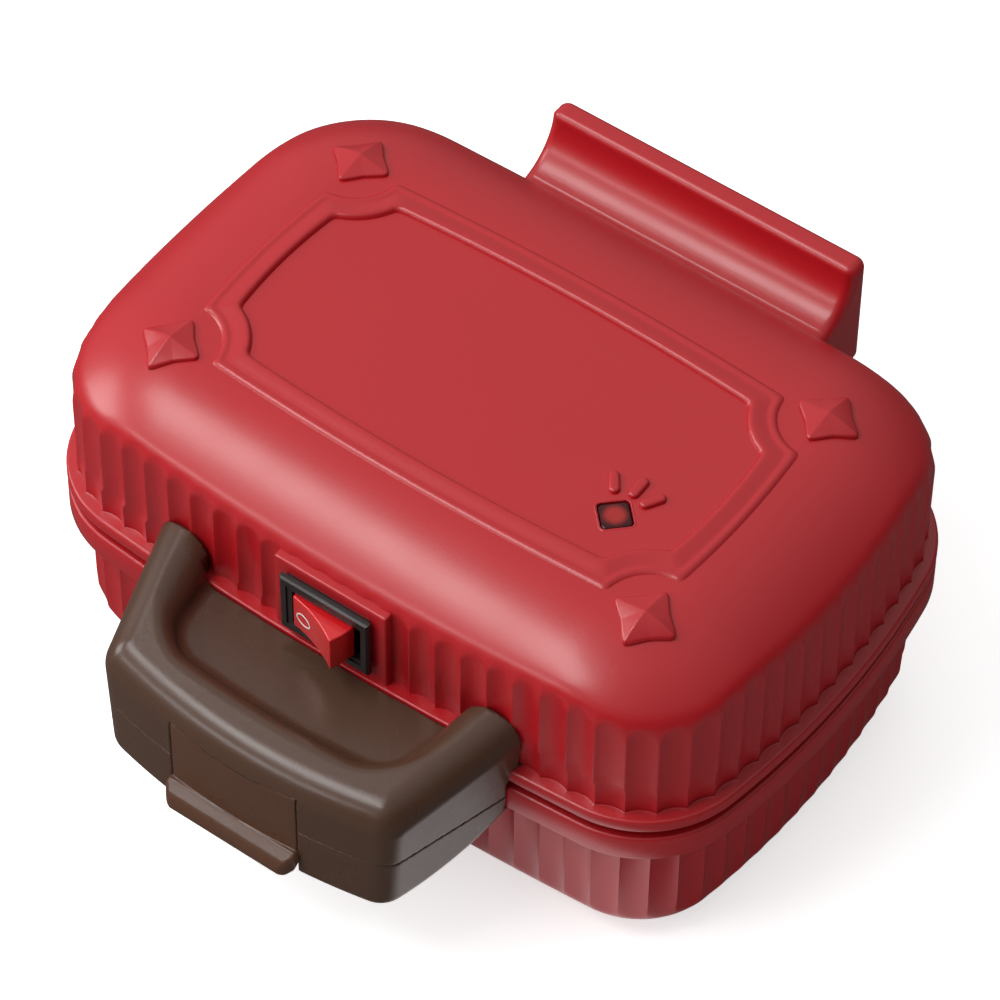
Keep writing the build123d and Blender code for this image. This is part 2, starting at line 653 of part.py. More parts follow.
recess_edges = [Line((-RECESS_HALF_X, slope_back), (-RECESS_HALF_X, well_side)),
                ThreePointArc((-RECESS_HALF_X, well_side), (0, -RECESS_FRONT), (RECESS_HALF_X, well_side)),
                Line((RECESS_HALF_X, well_side), (RECESS_HALF_X, slope_back)),
                Line((RECESS_HALF_X, slope_back), (-RECESS_HALF_X, slope_back))]
recess_face = make_face(recess_edges)
recess_face = fillet([v for v in recess_face.vertices() if v.Y < slope_back - RECESS_SAG], RECESS_CORNER)
recess = extrude(Pos(0, 0, RECESS_FLOOR) * recess_face, amount=RECESS_HIGH, taper=-RECESS_DRAFT)
handle_upper = handle_block - recess

# Hollow under the recess floor, then the latch's opening
hollow_x = RECESS_HALF_X + HOLLOW_SIDE
handle_upper = handle_upper - block(-hollow_x, hollow_x, HANDLE_FRONT_WALL - HANDLE_FRONT,
                                    -HALF_DEPTH - HOLLOW_BACK, LOWER_ROOF, RECESS_FLOOR - HANDLE_WALL)
handle_upper = handle_upper - lid_outer - slab(-RIM_CLEARANCE, LOWER_ROOF, LID_BOTTOM)
swing_space = LATCH_SWING + LATCH_SWING_GAP
latch_roof = rod_x(swing_space, -LATCH_SLOT_X, LATCH_SLOT_X, LATCH_PIN_Y, LATCH_PIN_Z)
handle_upper = handle_upper - latch_roof - block(-LATCH_SLOT_X, LATCH_SLOT_X, slope_front,
                                                 LATCH_PIN_Y + swing_space, HANDLE_BOTTOM, LATCH_PIN_Z)
pin_half = LATCH_HALF_X + LATCH_PIN_PROUD
handle_upper = handle_upper - rod_x(LATCH_PIN_RADIUS, -pin_half, pin_half, LATCH_PIN_Y, LATCH_PIN_Z)
handle_upper = keep_largest(handle_upper)

# Lower half of the handle, fixed to the base
lower_block = between(handle_face(), HANDLE_BOTTOM, LOWER_ROOF)
lower_edges = bottom_face(lower_block).edges().filter_by(lambda e: e.center().Y < root_y - RISE_LEFT)
lower_block = fillet(lower_edges, LOWER_ROUND)
rise_y0 = RISE_START - HANDLE_FRONT
rise_y1 = RISE_END - HALF_DEPTH
under = HANDLE_BOTTOM - HANDLE_WALL
rise_line = [Line((rise_y0, under), (rise_y0, HANDLE_BOTTOM)),
             TangentArc((rise_y0, HANDLE_BOTTOM), (rise_y1, HANDLE_SEAM - RISE_LEFT), tangent=(1, 0)),
             Line((rise_y1, HANDLE_SEAM - RISE_LEFT), (rise_y1, under)),
             Line((rise_y1, under), (rise_y0, under))]
rise_face = Plane.YZ * make_face(rise_line)
rise = extrude(rise_face, amount=2 * HALF_WIDTH, dir=(1, 0, 0))
lower_block = lower_block - Pos(-HALF_WIDTH, 0, 0) * rise
bracket = block(-BRACKET_HALF_X, BRACKET_HALF_X, -HALF_DEPTH - BRACKET_OUT, BASE_CAVITY_INSET - HALF_DEPTH,
                HANDLE_BOTTOM + BRACKET_LIFT, LOWER_ROOF)
lower_hollow = block(-hollow_x, hollow_x, HANDLE_FRONT_WALL - HANDLE_FRONT, -HALF_DEPTH - BRACKET_OUT,
                     under, HANDLE_SEAM - LOWER_ROUND)
handle_lower = lower_block - lower_hollow + bracket
handle_lower = handle_lower - block(-LATCH_SLOT_X, LATCH_SLOT_X, slope_front, -LATCH_BACK,
                                    under, LATCH_PIN_Z)
CATCH_TOP = LATCH_PIN_Z - LATCH_PIN_UP - CATCH_DROP + CATCH_HEIGHT
catch_low = CATCH_TOP - CATCH_HEIGHT
catch_y = -LATCH_BACK - CATCH_REACH
catch = side_prism([(CATCH_ROOT - LATCH_BACK, CATCH_TOP), (catch_y, catch_low + CATCH_FACE),
                    (catch_y, catch_low), (CATCH_ROOT - LATCH_BACK, catch_low)],
                   -CATCH_HALF_X, CATCH_HALF_X)
handle_lower = handle_lower + catch - latch_roof
handle_lower = handle_lower - base_round - slab(0, BASE_RIM_BOTTOM, LID_BOTTOM)
handle_lower = keep_largest(handle_lower)

# Latch: hub, bowed front panel, lip and hook
bow_front = between(handle_face(-LATCH_FLUSH), under, LATCH_PIN_Z + swing_space)
panel = block(-LATCH_HALF_X, LATCH_HALF_X, slope_front, -LATCH_BACK - LATCH_PANEL_BACK,
              LIP_TOP - LIP_ROOT, LATCH_PIN_Z)
swing = rod_x(LATCH_SWING, -LATCH_HALF_X, LATCH_HALF_X, LATCH_PIN_Y, LATCH_PIN_Z)
latch = (panel & bow_front) + (swing & bow_front)
lip_y = -FRONT_REACH
lip_root_y = -LATCH_BACK - LATCH_PANEL_BACK
lip_knee_y = -HANDLE_FRONT - LIP_KNEE / 2
lip_tip_x = LIP_HALF_X - LIP_SLANT_X
lip_line = Polyline((-LATCH_HALF_X, lip_root_y), (-LATCH_HALF_X, lip_knee_y), (-LIP_HALF_X, lip_knee_y),
                    (-lip_tip_x, lip_y), (lip_tip_x, lip_y), (LIP_HALF_X, lip_knee_y),
                    (LATCH_HALF_X, lip_knee_y), (LATCH_HALF_X, lip_root_y), close=True)
lip_face = make_face(lip_line)
lip_face = fillet([v for v in lip_face.vertices() if v.Y < lip_y + LIP_KNEE], LIP_CORNER)
lip = between(lip_face, under, HANDLE_SEAM)
lip_edge_z = LIP_TOP - LIP_FALL
lip_far = lip_y - RISE_LEFT
lip_side = side_prism([(lip_root_y, LIP_TOP), (LIP_KNEE - HANDLE_FRONT, LIP_TOP),
                       (lip_far, lip_edge_z + LIP_THICK), (lip_far, lip_edge_z - LIP_THICK),
                       (lip_y + LIP_THICK, lip_edge_z - LIP_KNEE), (lip_root_y, LIP_TOP - LIP_ROOT)],
                      -LIP_HALF_X, LIP_HALF_X)
latch = latch + (lip & lip_side)
hook_y = catch_y - HOOK_GAP
hook_top = catch_low - HOOK_DROP
hook = side_prism([(-LATCH_BACK - HOOK_ROOT, hook_top), (hook_y, hook_top), (hook_y, hook_top - HOOK_FACE),
                   (-LATCH_BACK - HOOK_ROOT, hook_top - CATCH_REACH)], -CATCH_HALF_X, CATCH_HALF_X)
latch = latch + hook
latch = latch - rod_x(LATCH_PIN_RADIUS + RUNNING_GAP, -pin_half, pin_half, LATCH_PIN_Y, LATCH_PIN_Z)
latch = latch - block(-LIP_HALF_X, LIP_HALF_X, LATCH_PIN_Y + LATCH_CHEEK, LATCH_PIN_Y + 2 * LATCH_CHEEK,
                      LIP_TOP, LATCH_PIN_Z + swing_space)
latch_pin = rod_x(LATCH_PIN_RADIUS, -pin_half, pin_half, LATCH_PIN_Y, LATCH_PIN_Z)

# Rocker switch
bezel = block(-BEZEL_X / 2, BEZEL_X / 2, BEZEL_FACE_Y, BOSS_FACE_Y,
              SWITCH_Z - BEZEL_Z / 2, SWITCH_Z + BEZEL_Z / 2)
bezel = chamfer(bezel.faces().sort_by(Axis.Y)[0].edges(), BEZEL_BEVEL)
box_x = CUTOUT_X / 2 - CUTOUT_FIT
box_z = CUTOUT_Z / 2 - CUTOUT_FIT
switch_back = BOSS_FACE_Y + SWITCH_DEPTH - CUTOUT_FIT
switch_body = bezel + block(-box_x, box_x, BOSS_FACE_Y - CUTOUT_FIT, switch_back,
                            SWITCH_Z - box_z, SWITCH_Z + box_z)
switch_body = switch_body - block(-ROCKER_WINDOW_X / 2, ROCKER_WINDOW_X / 2, BEZEL_FACE_Y - BEZEL_THICK,
                                  switch_back - SWITCH_WALL, SWITCH_Z - ROCKER_WINDOW_Z / 2,
                                  SWITCH_Z + ROCKER_WINDOW_Z / 2)
for x in (-TERMINAL_X, 0.0, TERMINAL_X):
    switch_body = switch_body + block(x - TERMINAL_HALF_THICK, x + TERMINAL_HALF_THICK,
                                      switch_back - TERMINAL_HALF_THICK, switch_back + TERMINAL_LENGTH,
                                      SWITCH_Z - TERMINAL_HALF_WIDTH, SWITCH_Z + TERMINAL_HALF_WIDTH)
axle_hole = ROCKER_AXLE / 2 + CUTOUT_FIT
switch_body = switch_body - rod_z(ROCKER_AXLE_RADIUS + RUNNING_GAP, 0, PIVOT_Y,
                                  SWITCH_Z - axle_hole, SWITCH_Z + axle_hole)

rocker_rise = ROCKER_HALF_X * math.tan(math.radians(ROCKER_TILT))
rocker_face_y = -ROCKER_PIVOT_DEPTH - ROCKER_STANDS
rocker_foot_x = ROCKER_HALF_X - ROCKER_TAPER
rocker_points = [(-ROCKER_HALF_X, rocker_face_y - rocker_rise), (0, rocker_face_y),
                 (ROCKER_HALF_X, rocker_face_y - rocker_rise), (rocker_foot_x, -ROCKER_STANDS),
                 (ROCKER_CHIN, ROCKER_CHIN), (-ROCKER_CHIN, ROCKER_CHIN), (-rocker_foot_x, -ROCKER_STANDS)]
rocker = between(make_face(Polyline(*rocker_points, close=True)), -ROCKER_Z / 2, ROCKER_Z / 2)
rocker = rocker + Cylinder(ROCKER_AXLE_RADIUS, ROCKER_AXLE)
rocker = Pos(0, PIVOT_Y, SWITCH_Z) * Rot(0, 0, -ROCKER_TILT) * rocker

# Pilot lamp: lens in the lid, lamp behind it
lamp_lens = between(lens_face(-LAMP_FIT), ROOF_Z, LID_TOP + LAMP_RISE)
lamp_lens = chamfer(top_face(lamp_lens).edges(), LAMP_RISE / 2)
lamp_lens = lamp_lens + between(lens_face(LAMP_FLANGE), ROOF_Z - LAMP_FLANGE_THICK, ROOF_Z)
neon_lamp = rod_x(NEON_RADIUS, LAMP_X - NEON_LENGTH / 2, LAMP_X + NEON_LENGTH / 2, LAMP_Y,
                  ROOF_Z - LAMP_FLANGE_THICK - NEON_RADIUS)


# Frames in the seam, seen as the dark line between lid and base
def seam_frame(sign, wall, cavity_inset):
    """Dark ring round a plate; sign is 1 for the lid's."""
    lip = sorted((wall, wall - sign * FRAME_LIP))
    seat = PLATE_SEAM + sign * (PLATE_GAP / 2 + PLATE_RIM)
    side = sorted((wall, seat))
    shelf = sorted((seat, seat + sign * FRAME_SEAT))
    frame = ring(FRAME_INSET, PLATE_INSET - PLATE_CLEAR, lip[0], lip[1])
    frame = frame + ring(cavity_inset, PLATE_INSET - PLATE_CLEAR, side[0], side[1])
    return frame + ring(cavity_inset, PLATE_INSET + FRAME_SHELF, shelf[0], shelf[1])


upper_frame = seam_frame(1, LID_BOTTOM, LID_CAVITY_INSET)
lower_frame = seam_frame(-1, BASE_RIM_TOP, BASE_CAVITY_INSET)


def pocket_loft(grow, z0, z1, draft):
    """Tapering box for a pocket's inside or outside."""
    mouth = RectangleRounded(2 * (POCKET_HALF_X + grow), 2 * (POCKET_HALF_Y + grow), POCKET_CORNER + grow)
    end = RectangleRounded(2 * (POCKET_HALF_X + grow - draft), 2 * (POCKET_HALF_Y + grow - draft),
                           POCKET_CORNER + grow - draft)
    return loft([Pos(0, 0, z0) * mouth, Pos(0, 0, z1) * end])


def plate(sign):
    """One cooking plate; sign is 1 for the upper one."""
    face_z = PLATE_SEAM + sign * PLATE_GAP / 2
    rim = between(make_face(outline_wire(PLATE_INSET)), face_z, face_z + sign * PLATE_RIM)
    draft = POCKET_DEPTH * math.tan(math.radians(POCKET_DRAFT))
    outer = pocket_loft(POCKET_WALL, face_z, face_z + sign * (POCKET_DEPTH + POCKET_WALL), draft)
    inner = pocket_loft(0, face_z - sign * PLATE_GAP / 4, face_z + sign * POCKET_DEPTH, draft)
    return rim + outer - inner


upper_plate = plate(1)
lower_plate = plate(-1)


def heater(sign):
    """Pressed tube in a U under a plate."""
    z = PLATE_SEAM + sign * (POCKET_BACK + HEATER_RADIUS)
    half_x, half_y = POCKET_HALF_X - HEATER_IN_X, POCKET_HALF_Y - HEATER_IN_Y
    corners = [(-half_x, 0, z), (-half_x, half_y, z), (half_x, half_y, z), (half_x, -half_y, z),
               (HEATER_BEND - half_x, -half_y, z)]
    path = FilletPolyline(*corners, radius=HEATER_BEND)
    start = Plane(origin=path @ 0, z_dir=path % 0)
    return sweep(start * RegularPolygon(HEATER_RADIUS, 8), path)


upper_heater = heater(1)
lower_heater = heater(-1)


def reflector(sign):
    near = PLATE_SEAM + sign * REFLECTOR_NEAR
    sheet = RectangleRounded(2 * (POCKET_HALF_X - REFLECTOR_IN), 2 * (POCKET_HALF_Y - REFLECTOR_IN),
                             POCKET_CORNER)
    return between(sheet, near, near + sign * REFLECTOR_THICK)


upper_reflector = reflector(1)
lower_reflector = reflector(-1)

# Thermostat and fuse under the lower reflector
lower_back = PLATE_SEAM - REFLECTOR_NEAR - REFLECTOR_THICK
thermostat_foot = lower_back - THERMOSTAT_HEIGHT
thermostat = rod_z(THERMOSTAT_RADIUS, THERMOSTAT_X, 0, thermostat_foot, lower_back)
thermostat = thermostat + block(THERMOSTAT_X - FUSE_RADIUS, THERMOSTAT_X + FUSE_RADIUS, -THERMOSTAT_TAB,
                                THERMOSTAT_TAB, thermostat_foot - THERMOSTAT_TAB, thermostat_foot)
fuse_half = FUSE_LENGTH / 2
thermal_fuse = rod_x(FUSE_RADIUS, -FUSE_X - fuse_half, -FUSE_X + fuse_half, 0, lower_back - FUSE_RADIUS)
thermal_fuse = thermal_fuse + block(-FUSE_X - FUSE_RADIUS, -FUSE_X + FUSE_RADIUS, -2 * FUSE_RADIUS,
                                    2 * FUSE_RADIUS, lower_back - FUSE_CLIP, lower_back)

# Gland, hinge rod, feet and screws
cord_gland = rod_y(GLAND_RADIUS, GLAND_LENGTH, 0, GLAND_Y, GLAND_Z) - rod_y(
    GLAND_BORE, 2 * GLAND_LENGTH, 0, GLAND_Y, GLAND_Z)
rod_end = EAR_OUTER_X + HINGE_ROD_PROUD
hinge_rod = rod_x(HINGE_ROD_RADIUS, -rod_end, rod_end, HINGE_Y, HINGE_Z)
feet = {}
screws = {}
CORNERS = {"front_left": (-1, -1), "front_right": (1, -1), "rear_left": (-1, 1), "rear_right": (1, 1)}
for name, (sx, sy) in CORNERS.items():
    foot_x, foot_y = sx * (HALF_WIDTH - FOOT_FROM_SIDE), sy * (HALF_DEPTH - FOOT_FROM_FRONT)
    feet[name] = rod_z(FOOT_RADIUS, foot_x, foot_y, 0, BASE_BOTTOM)
    screw_x, screw_y = sx * (HALF_WIDTH - SCREW_FROM_SIDE), sy * (HALF_DEPTH - SCREW_FROM_FRONT)
    base_shell = base_shell - rod_z(SCREW_RADIUS + SCREW_GAP, screw_x, screw_y, 0, BASE_BOTTOM + SCREW_SINK)
    screws[name] = rod_z(SCREW_RADIUS, screw_x, screw_y, BASE_BOTTOM + SCREW_GAP, BASE_BOTTOM + SCREW_SINK)

nodes = {
    "lid_shell": lid_shell,
    "upper_frame": upper_frame,
    "upper_plate": upper_plate,
    "upper_heater": upper_heater,
    "upper_reflector": upper_reflector,
    "switch_body": switch_body,
    "rocker": rocker,
    "lamp_lens": lamp_lens,
    "neon_lamp": neon_lamp,
    "handle_upper": handle_upper,
    "latch": latch,
    "latch_pin": latch_pin,
    "hinge_rod": hinge_rod,
    "base_shell": base_shell,
    "lower_frame": lower_frame,
    "lower_plate": lower_plate,
    "lower_heater": lower_heater,
    "lower_reflector": lower_reflector,
    "thermostat": thermostat,
    "thermal_fuse": thermal_fuse,
    "handle_lower": handle_lower,
    "cord_gland": cord_gland,
}
for name, foot in feet.items():
    nodes["foot_" + name] = foot
for name, screw in screws.items():
    nodes["screw_" + name] = screw

for name, shape in nodes.items():
    moved = Pos(0, SHIFT_Y, 0) * shape
    export_step(moved, "parts/" + name + ".step")
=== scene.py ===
import math

import bmesh
import bpy
import numpy as np
from mathutils import Matrix, Vector

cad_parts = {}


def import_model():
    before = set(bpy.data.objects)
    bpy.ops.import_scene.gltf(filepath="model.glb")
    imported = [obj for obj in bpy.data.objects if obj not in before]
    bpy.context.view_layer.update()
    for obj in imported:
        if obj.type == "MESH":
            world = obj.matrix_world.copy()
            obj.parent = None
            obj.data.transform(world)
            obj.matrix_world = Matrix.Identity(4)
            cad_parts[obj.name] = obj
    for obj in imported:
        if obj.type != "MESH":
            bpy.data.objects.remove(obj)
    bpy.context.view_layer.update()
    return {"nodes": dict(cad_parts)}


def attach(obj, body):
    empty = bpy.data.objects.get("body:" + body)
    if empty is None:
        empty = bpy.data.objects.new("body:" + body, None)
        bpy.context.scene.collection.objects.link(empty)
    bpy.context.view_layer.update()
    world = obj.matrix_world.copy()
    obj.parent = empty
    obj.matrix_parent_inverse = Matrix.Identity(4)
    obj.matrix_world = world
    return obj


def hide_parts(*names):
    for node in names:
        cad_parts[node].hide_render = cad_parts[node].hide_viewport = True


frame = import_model()
NODES = frame["nodes"]

MM = 0.001
SHIFT_Y = 8.5

# Body, in millimetres with the flange's centre at X = Y = 0. As in the part's source, but for the dome's
# radius, which is larger here, and the two blends, which the part doesn't have.
HALF_WIDTH = 82.0
HALF_DEPTH = 55.4
CORNER_RADIUS = 23.8
FRONT_RADIUS = 699.0
SIDE_RADIUS = 197.0
BASE_BOTTOM = 3.0
BASE_RIM_BOTTOM = 34.3
BASE_RIM_TOP = 40.6
LID_BOTTOM = 43.0
LID_LEDGE = 46.0
LID_TOP = 80.6
LID_WALL_INSET = 2.1
BASE_WALL_INSET = 4.1
FLUTES = 80
FLUTE_DEPTH = 0.95
DOME_REACH = 23.7
DOME_RADIUS = 34.0
DOME_CORNER = 8.0
SHOULDER_BLEND = 3.0
FLUTE_BLEND = 0.3


# Camera, worked out from the photograph
def set_camera():
    azimuth, elevation, roll = math.radians(35.985), math.radians(50.393), math.radians(0.645)
    distance = 1.017
    target = Vector((0.000084, 0.008458, 0.043683))
    back = Vector((math.sin(azimuth) * math.cos(elevation), -math.cos(azimuth) * math.cos(elevation),
                   math.sin(elevation)))
    right = Vector((math.cos(azimuth), math.sin(azimuth), 0))
    up = back.cross(right)
    right_r = math.cos(roll) * right + math.sin(roll) * up
    up_r = -math.sin(roll) * right + math.cos(roll) * up
    data = bpy.data.cameras.new("camera")
    data.sensor_width = 36.0
    data.lens = 5148.4 / 1000 * 36.0
    data.clip_start = 0.05
    data.clip_end = 20
    cam = bpy.data.objects.new("camera", data)
    bpy.context.scene.collection.objects.link(cam)
    rot = Matrix((right_r, up_r, back)).transposed()
    cam.matrix_world = Matrix.Translation(target + back * distance) @ rot.to_4x4()
    bpy.context.scene.camera = cam


set_camera()


# Node helpers
def new_material(name):
    material = bpy.data.materials.new(name)
    material.use_nodes = True
    nodes = material.node_tree.nodes
    shader = nodes["Principled BSDF"]
    return material, nodes, material.node_tree.links, shader


def noise(nodes, links, coord, scale, detail=3.0, rough=0.5):
    node = nodes.new("ShaderNodeTexNoise")
    node.inputs["Scale"].default_value = scale
    node.inputs["Detail"].default_value = detail
    node.inputs["Roughness"].default_value = rough
    links.new(coord.outputs["Object"], node.inputs["Vector"])
    return node


def ramp(nodes, links, source, low, high):
    node = nodes.new("ShaderNodeMapRange")
    node.inputs["From Min"].default_value = 0.3
    node.inputs["From Max"].default_value = 0.7
    node.inputs["To Min"].default_value = low
    node.inputs["To Max"].default_value = high
    links.new(source, node.inputs["Value"])
    return node


def surface(name, colour, rough, spread=0.04, tint=0.06, grain=900.0, bump=0.02, metallic=0.0,
            specular=0.5, coat=0.0, coat_rough=0.2, sheen=0.0):
    """Moulded or painted surface: slight tint and gloss variation, and a fine grain in the bump."""
    material, nodes, links, shader = new_material(name)
    coord = nodes.new("ShaderNodeTexCoord")
    cloud = noise(nodes, links, coord, 22.0, 4.0, 0.6)
    mix = nodes.new("ShaderNodeMix")
    mix.data_type = "RGBA"
    mix.inputs["A"].default_value = (*[c * (1 - tint) for c in colour], 1)
    mix.inputs["B"].default_value = (*[min(c * (1 + tint), 1) for c in colour], 1)
    links.new(cloud.outputs["Fac"], mix.inputs["Factor"])
    links.new(mix.outputs["Result"], shader.inputs["Base Color"])
    patches = noise(nodes, links, coord, 60.0)
    gloss = ramp(nodes, links, patches.outputs["Fac"], rough - spread, rough + spread)
    links.new(gloss.outputs["Result"], shader.inputs["Roughness"])
    fine = noise(nodes, links, coord, grain, 2.0)
    bump_node = nodes.new("ShaderNodeBump")
    bump_node.inputs["Strength"].default_value = bump
    bump_node.inputs["Distance"].default_value = 0.0004
    links.new(fine.outputs["Fac"], bump_node.inputs["Height"])
    links.new(bump_node.outputs["Normal"], shader.inputs["Normal"])
    shader.inputs["Metallic"].default_value = metallic
    shader.inputs["Specular IOR Level"].default_value = specular
    shader.inputs["Coat Weight"].default_value = coat
    shader.inputs["Coat Roughness"].default_value = coat_rough
    shader.inputs["Sheen Weight"].default_value = sheen
    return material


ENAMEL = surface("enamel", (0.42, 0.008, 0.013), 0.34, 0.03, 0.04, 1500.0, 0.06, specular=0.46, coat=0.2,
                 coat_rough=0.2)
BROWN = surface("brown_moulding", (0.072, 0.036, 0.022), 0.27, 0.03, 0.05, 1300.0, 0.05, specular=0.42)
LATCH_BROWN = surface("latch_moulding", (0.088, 0.038, 0.021), 0.27, 0.03, 0.05, 1300.0, 0.05, specular=0.42)
BLACK = surface("black_moulding", (0.012, 0.010, 0.010), 0.45, 0.05, 0.08, 1100.0, 0.10)
BEZEL = surface("bezel_moulding", (0.016, 0.012, 0.012), 0.30, 0.04, 0.06, 1200.0, 0.05)
ROCKER = surface("rocker_moulding", (0.58, 0.007, 0.010), 0.24, 0.03, 0.04, 900.0, 0.02, coat=0.4,
                 coat_rough=0.1)
MARK = surface("white_print", (0.80, 0.78, 0.76), 0.5, 0.03, 0.03, 900.0, 0.02)
NONSTICK = surface("nonstick_coat", (0.022, 0.021, 0.021), 0.42, 0.05, 0.10, 2200.0, 0.22)
STEEL = surface("bright_steel", (0.62, 0.61, 0.59), 0.26, 0.05, 0.04, 700.0, 0.03, metallic=1.0)
SHEATH = surface("heater_sheath", (0.19, 0.18, 0.17), 0.42, 0.06, 0.12, 700.0, 0.08, metallic=1.0)
RUBBER = surface("foot_rubber", (0.018, 0.017, 0.017), 0.70, 0.05, 0.10, 900.0, 0.15, specular=0.3)
LENS = surface("lamp_lens", (0.20, 0.004, 0.006), 0.16, 0.02, 0.10, 500.0, 0.02, specular=0.3)
LENS_CORE = surface("lamp_lens_core", (0.30, 0.03, 0.03), 0.30, 0.05, 0.20, 700.0, 0.10)


# Mesh helpers
BOX_FACES = [(0, 1, 3, 2), (4, 6, 7, 5), (0, 4, 5, 1), (2, 3, 7, 6), (0, 2, 6, 4), (1, 5, 7, 3)]


def add_mesh(name, vertices, faces, material, smooth=True):
    mesh = bpy.data.meshes.new(name)
    mesh.from_pydata([tuple(v) for v in vertices], [], faces)
    mesh.update()
    obj = bpy.data.objects.new(name, mesh)
    bpy.context.scene.collection.objects.link(obj)
    mesh.materials.append(material)
    if smooth:
        mesh.polygons.foreach_set("use_smooth", [True] * len(mesh.polygons))
    return obj


def to_row(points):
    """Body coordinates in millimetres to the frame's metres."""
    out = np.array(points, float)
    out[..., 1] += SHIFT_Y
    return out * MM


def ring_mesh(name, rows, material, cap_first=True, cap_last=True):
    """Closed skin from rows of points, each row a closed loop."""
    rows = np.array(rows)
    count_r, count_c = rows.shape[:2]
    faces = []
    for r in range(count_r - 1):
        a, b = r * count_c, (r + 1) * count_c
        for c in range(count_c):
            d = (c + 1) % count_c
            faces.append((a + c, a + d, b + d, b + c))
    if cap_first:
        faces.append(tuple(range(count_c))[::-1])
    if cap_last:
        base = (count_r - 1) * count_c
        faces.append(tuple(base + c for c in range(count_c)))
    obj = add_mesh(name, to_row(rows.reshape(-1, 3)), faces, material)
    fix_normals(obj)
    return obj


def fix_normals(obj):
    bm = bmesh.new()
    bm.from_mesh(obj.data)
    bmesh.ops.recalc_face_normals(bm, faces=bm.faces)
    bm.to_mesh(obj.data)
    bm.free()


def crease_by_angle(obj, degrees):
    obj.data.set_sharp_from_angle(angle=math.radians(degrees))


def bevel(obj, width, segments=3, degrees=40):
    mod = obj.modifiers.new("bevel", "BEVEL")
    mod.width = width * MM
    mod.segments = segments
    mod.limit_method = "ANGLE"
    mod.angle_limit = math.radians(degrees)
    mod.harden_normals = True
    return obj


def cut(obj, *cutters):
    """Take the cutters out of a piece."""
    for cutter in cutters:
        mod = obj.modifiers.new("cut", "BOOLEAN")
        mod.operation = "DIFFERENCE"
        mod.solver = "EXACT"
        mod.object = cutter
    graph = bpy.context.evaluated_depsgraph_get()
    mesh = bpy.data.meshes.new_from_object(obj.evaluated_get(graph))
    obj.modifiers.clear()
    obj.data = mesh
    for cutter in cutters:
        bpy.data.objects.remove(cutter)


def cutter_box(x0, x1, y0, y1, z0, z1):
    corners = [(x, y, z) for x in (x0, x1) for y in (y0, y1) for z in (z0, z1)]
    obj = add_mesh("cutter", to_row(corners), BOX_FACES, ENAMEL, False)
    fix_normals(obj)
    return obj


def cutter_tube(centre, axis, radius, length):
    """Round cutter along an axis, 0 to 2, from its centre."""
    u, v = (axis + 1) % 3, (axis + 2) % 3
    rows = []
    for end in (0.0, length):
        loop = []
        for k in range(48):
            point = list(centre)
            point[axis] += end
            point[u] += radius * math.cos(2 * math.pi * k / 48)
            point[v] += radius * math.sin(2 * math.pi * k / 48)
            loop.append(point)
        rows.append(loop)
    return ring_mesh("cutter", rows, ENAMEL)


def finish_piece(obj, body, slot, *nodes):
    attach(obj, body)
    if nodes:
        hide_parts(*nodes)
    return obj


def field_mesh(name, field, low, high, step, material):
    """Skin where a field is zero, found on a grid and then moved exactly onto it."""
    low, high = np.array(low, float), np.array(high, float)
    edge = [(low[i] + 1.2 * step, high[i] - 1.2 * step) for i in range(3)]

    def bounded(x, y, z):
        return np.maximum(field(x, y, z), box_field(x, y, z, *edge[0], *edge[1], *edge[2]))

    counts = np.ceil((high - low) / step).astype(int) + 1
    axes = [low[i] + step * np.arange(counts[i]) for i in range(3)]
    value = bounded(*np.meshgrid(*axes, indexing="ij"))
    cells = tuple(counts - 1)
    number = np.zeros(int(np.prod(cells)))
    total = np.zeros((number.size, 3))
    quads = []
    for axis in range(3):
        near, far = [slice(None)] * 3, [slice(None)] * 3
        near[axis], far[axis] = slice(0, -1), slice(1, None)
        a, b = value[tuple(near)], value[tuple(far)]
        index = np.argwhere((a < 0) != (b < 0))
        start, end = a[tuple(index.T)], b[tuple(index.T)]
        place = low + step * index
        place[:, axis] += step * start / (start - end)
        u, v = (axis + 1) % 3, (axis + 2) % 3
        around = []
        for du, dv in ((0, 0), (1, 0), (1, 1), (0, 1)):
            cell = index.copy()
            cell[:, u] -= du
            cell[:, v] -= dv
            flat = np.ravel_multi_index(tuple(cell.T), cells)
            np.add.at(number, flat, 1)
            np.add.at(total, flat, place)
            around.append(flat)
        around = np.array(around).T
        quads.append(np.where((start < 0)[:, None], around, around[:, ::-1]))
    used = np.flatnonzero(number)
    points = total[used] / number[used, None]
    renumber = np.zeros(number.size, int)
    renumber[used] = np.arange(used.size)
    faces = renumber[np.concatenate(quads)]
    small = 0.02
    for _ in range(4):
        here = bounded(*points.T)
        ahead = [bounded(*(points + small * way).T) for way in np.eye(3)]
        behind = [bounded(*(points - small * way).T) for way in np.eye(3)]
        slope = (np.array(ahead) - np.array(behind)).T / (2 * small)
        move = -here / np.maximum((slope**2).sum(axis=1), 0.2)
        points = points + slope * np.clip(move, -step / 2, step / 2)[:, None]
    obj = add_mesh(name, to_row(points), faces.tolist(), material)
    fix_normals(obj)
    return obj


def box_field(x, y, z, x0, x1, y0, y1, z0, z1, radius=0.0):
    """Box with round edges."""
    fx = np.abs(x - (x0 + x1) / 2) - (x1 - x0) / 2
    fy = np.abs(y - (y0 + y1) / 2) - (y1 - y0) / 2
    fz = np.abs(z - (z0 + z1) / 2) - (z1 - z0) / 2
    if radius == 0.0:
        return np.maximum(np.maximum(fx, fy), fz)
    return round_max(round_max(fx, fy, radius), fz, radius)


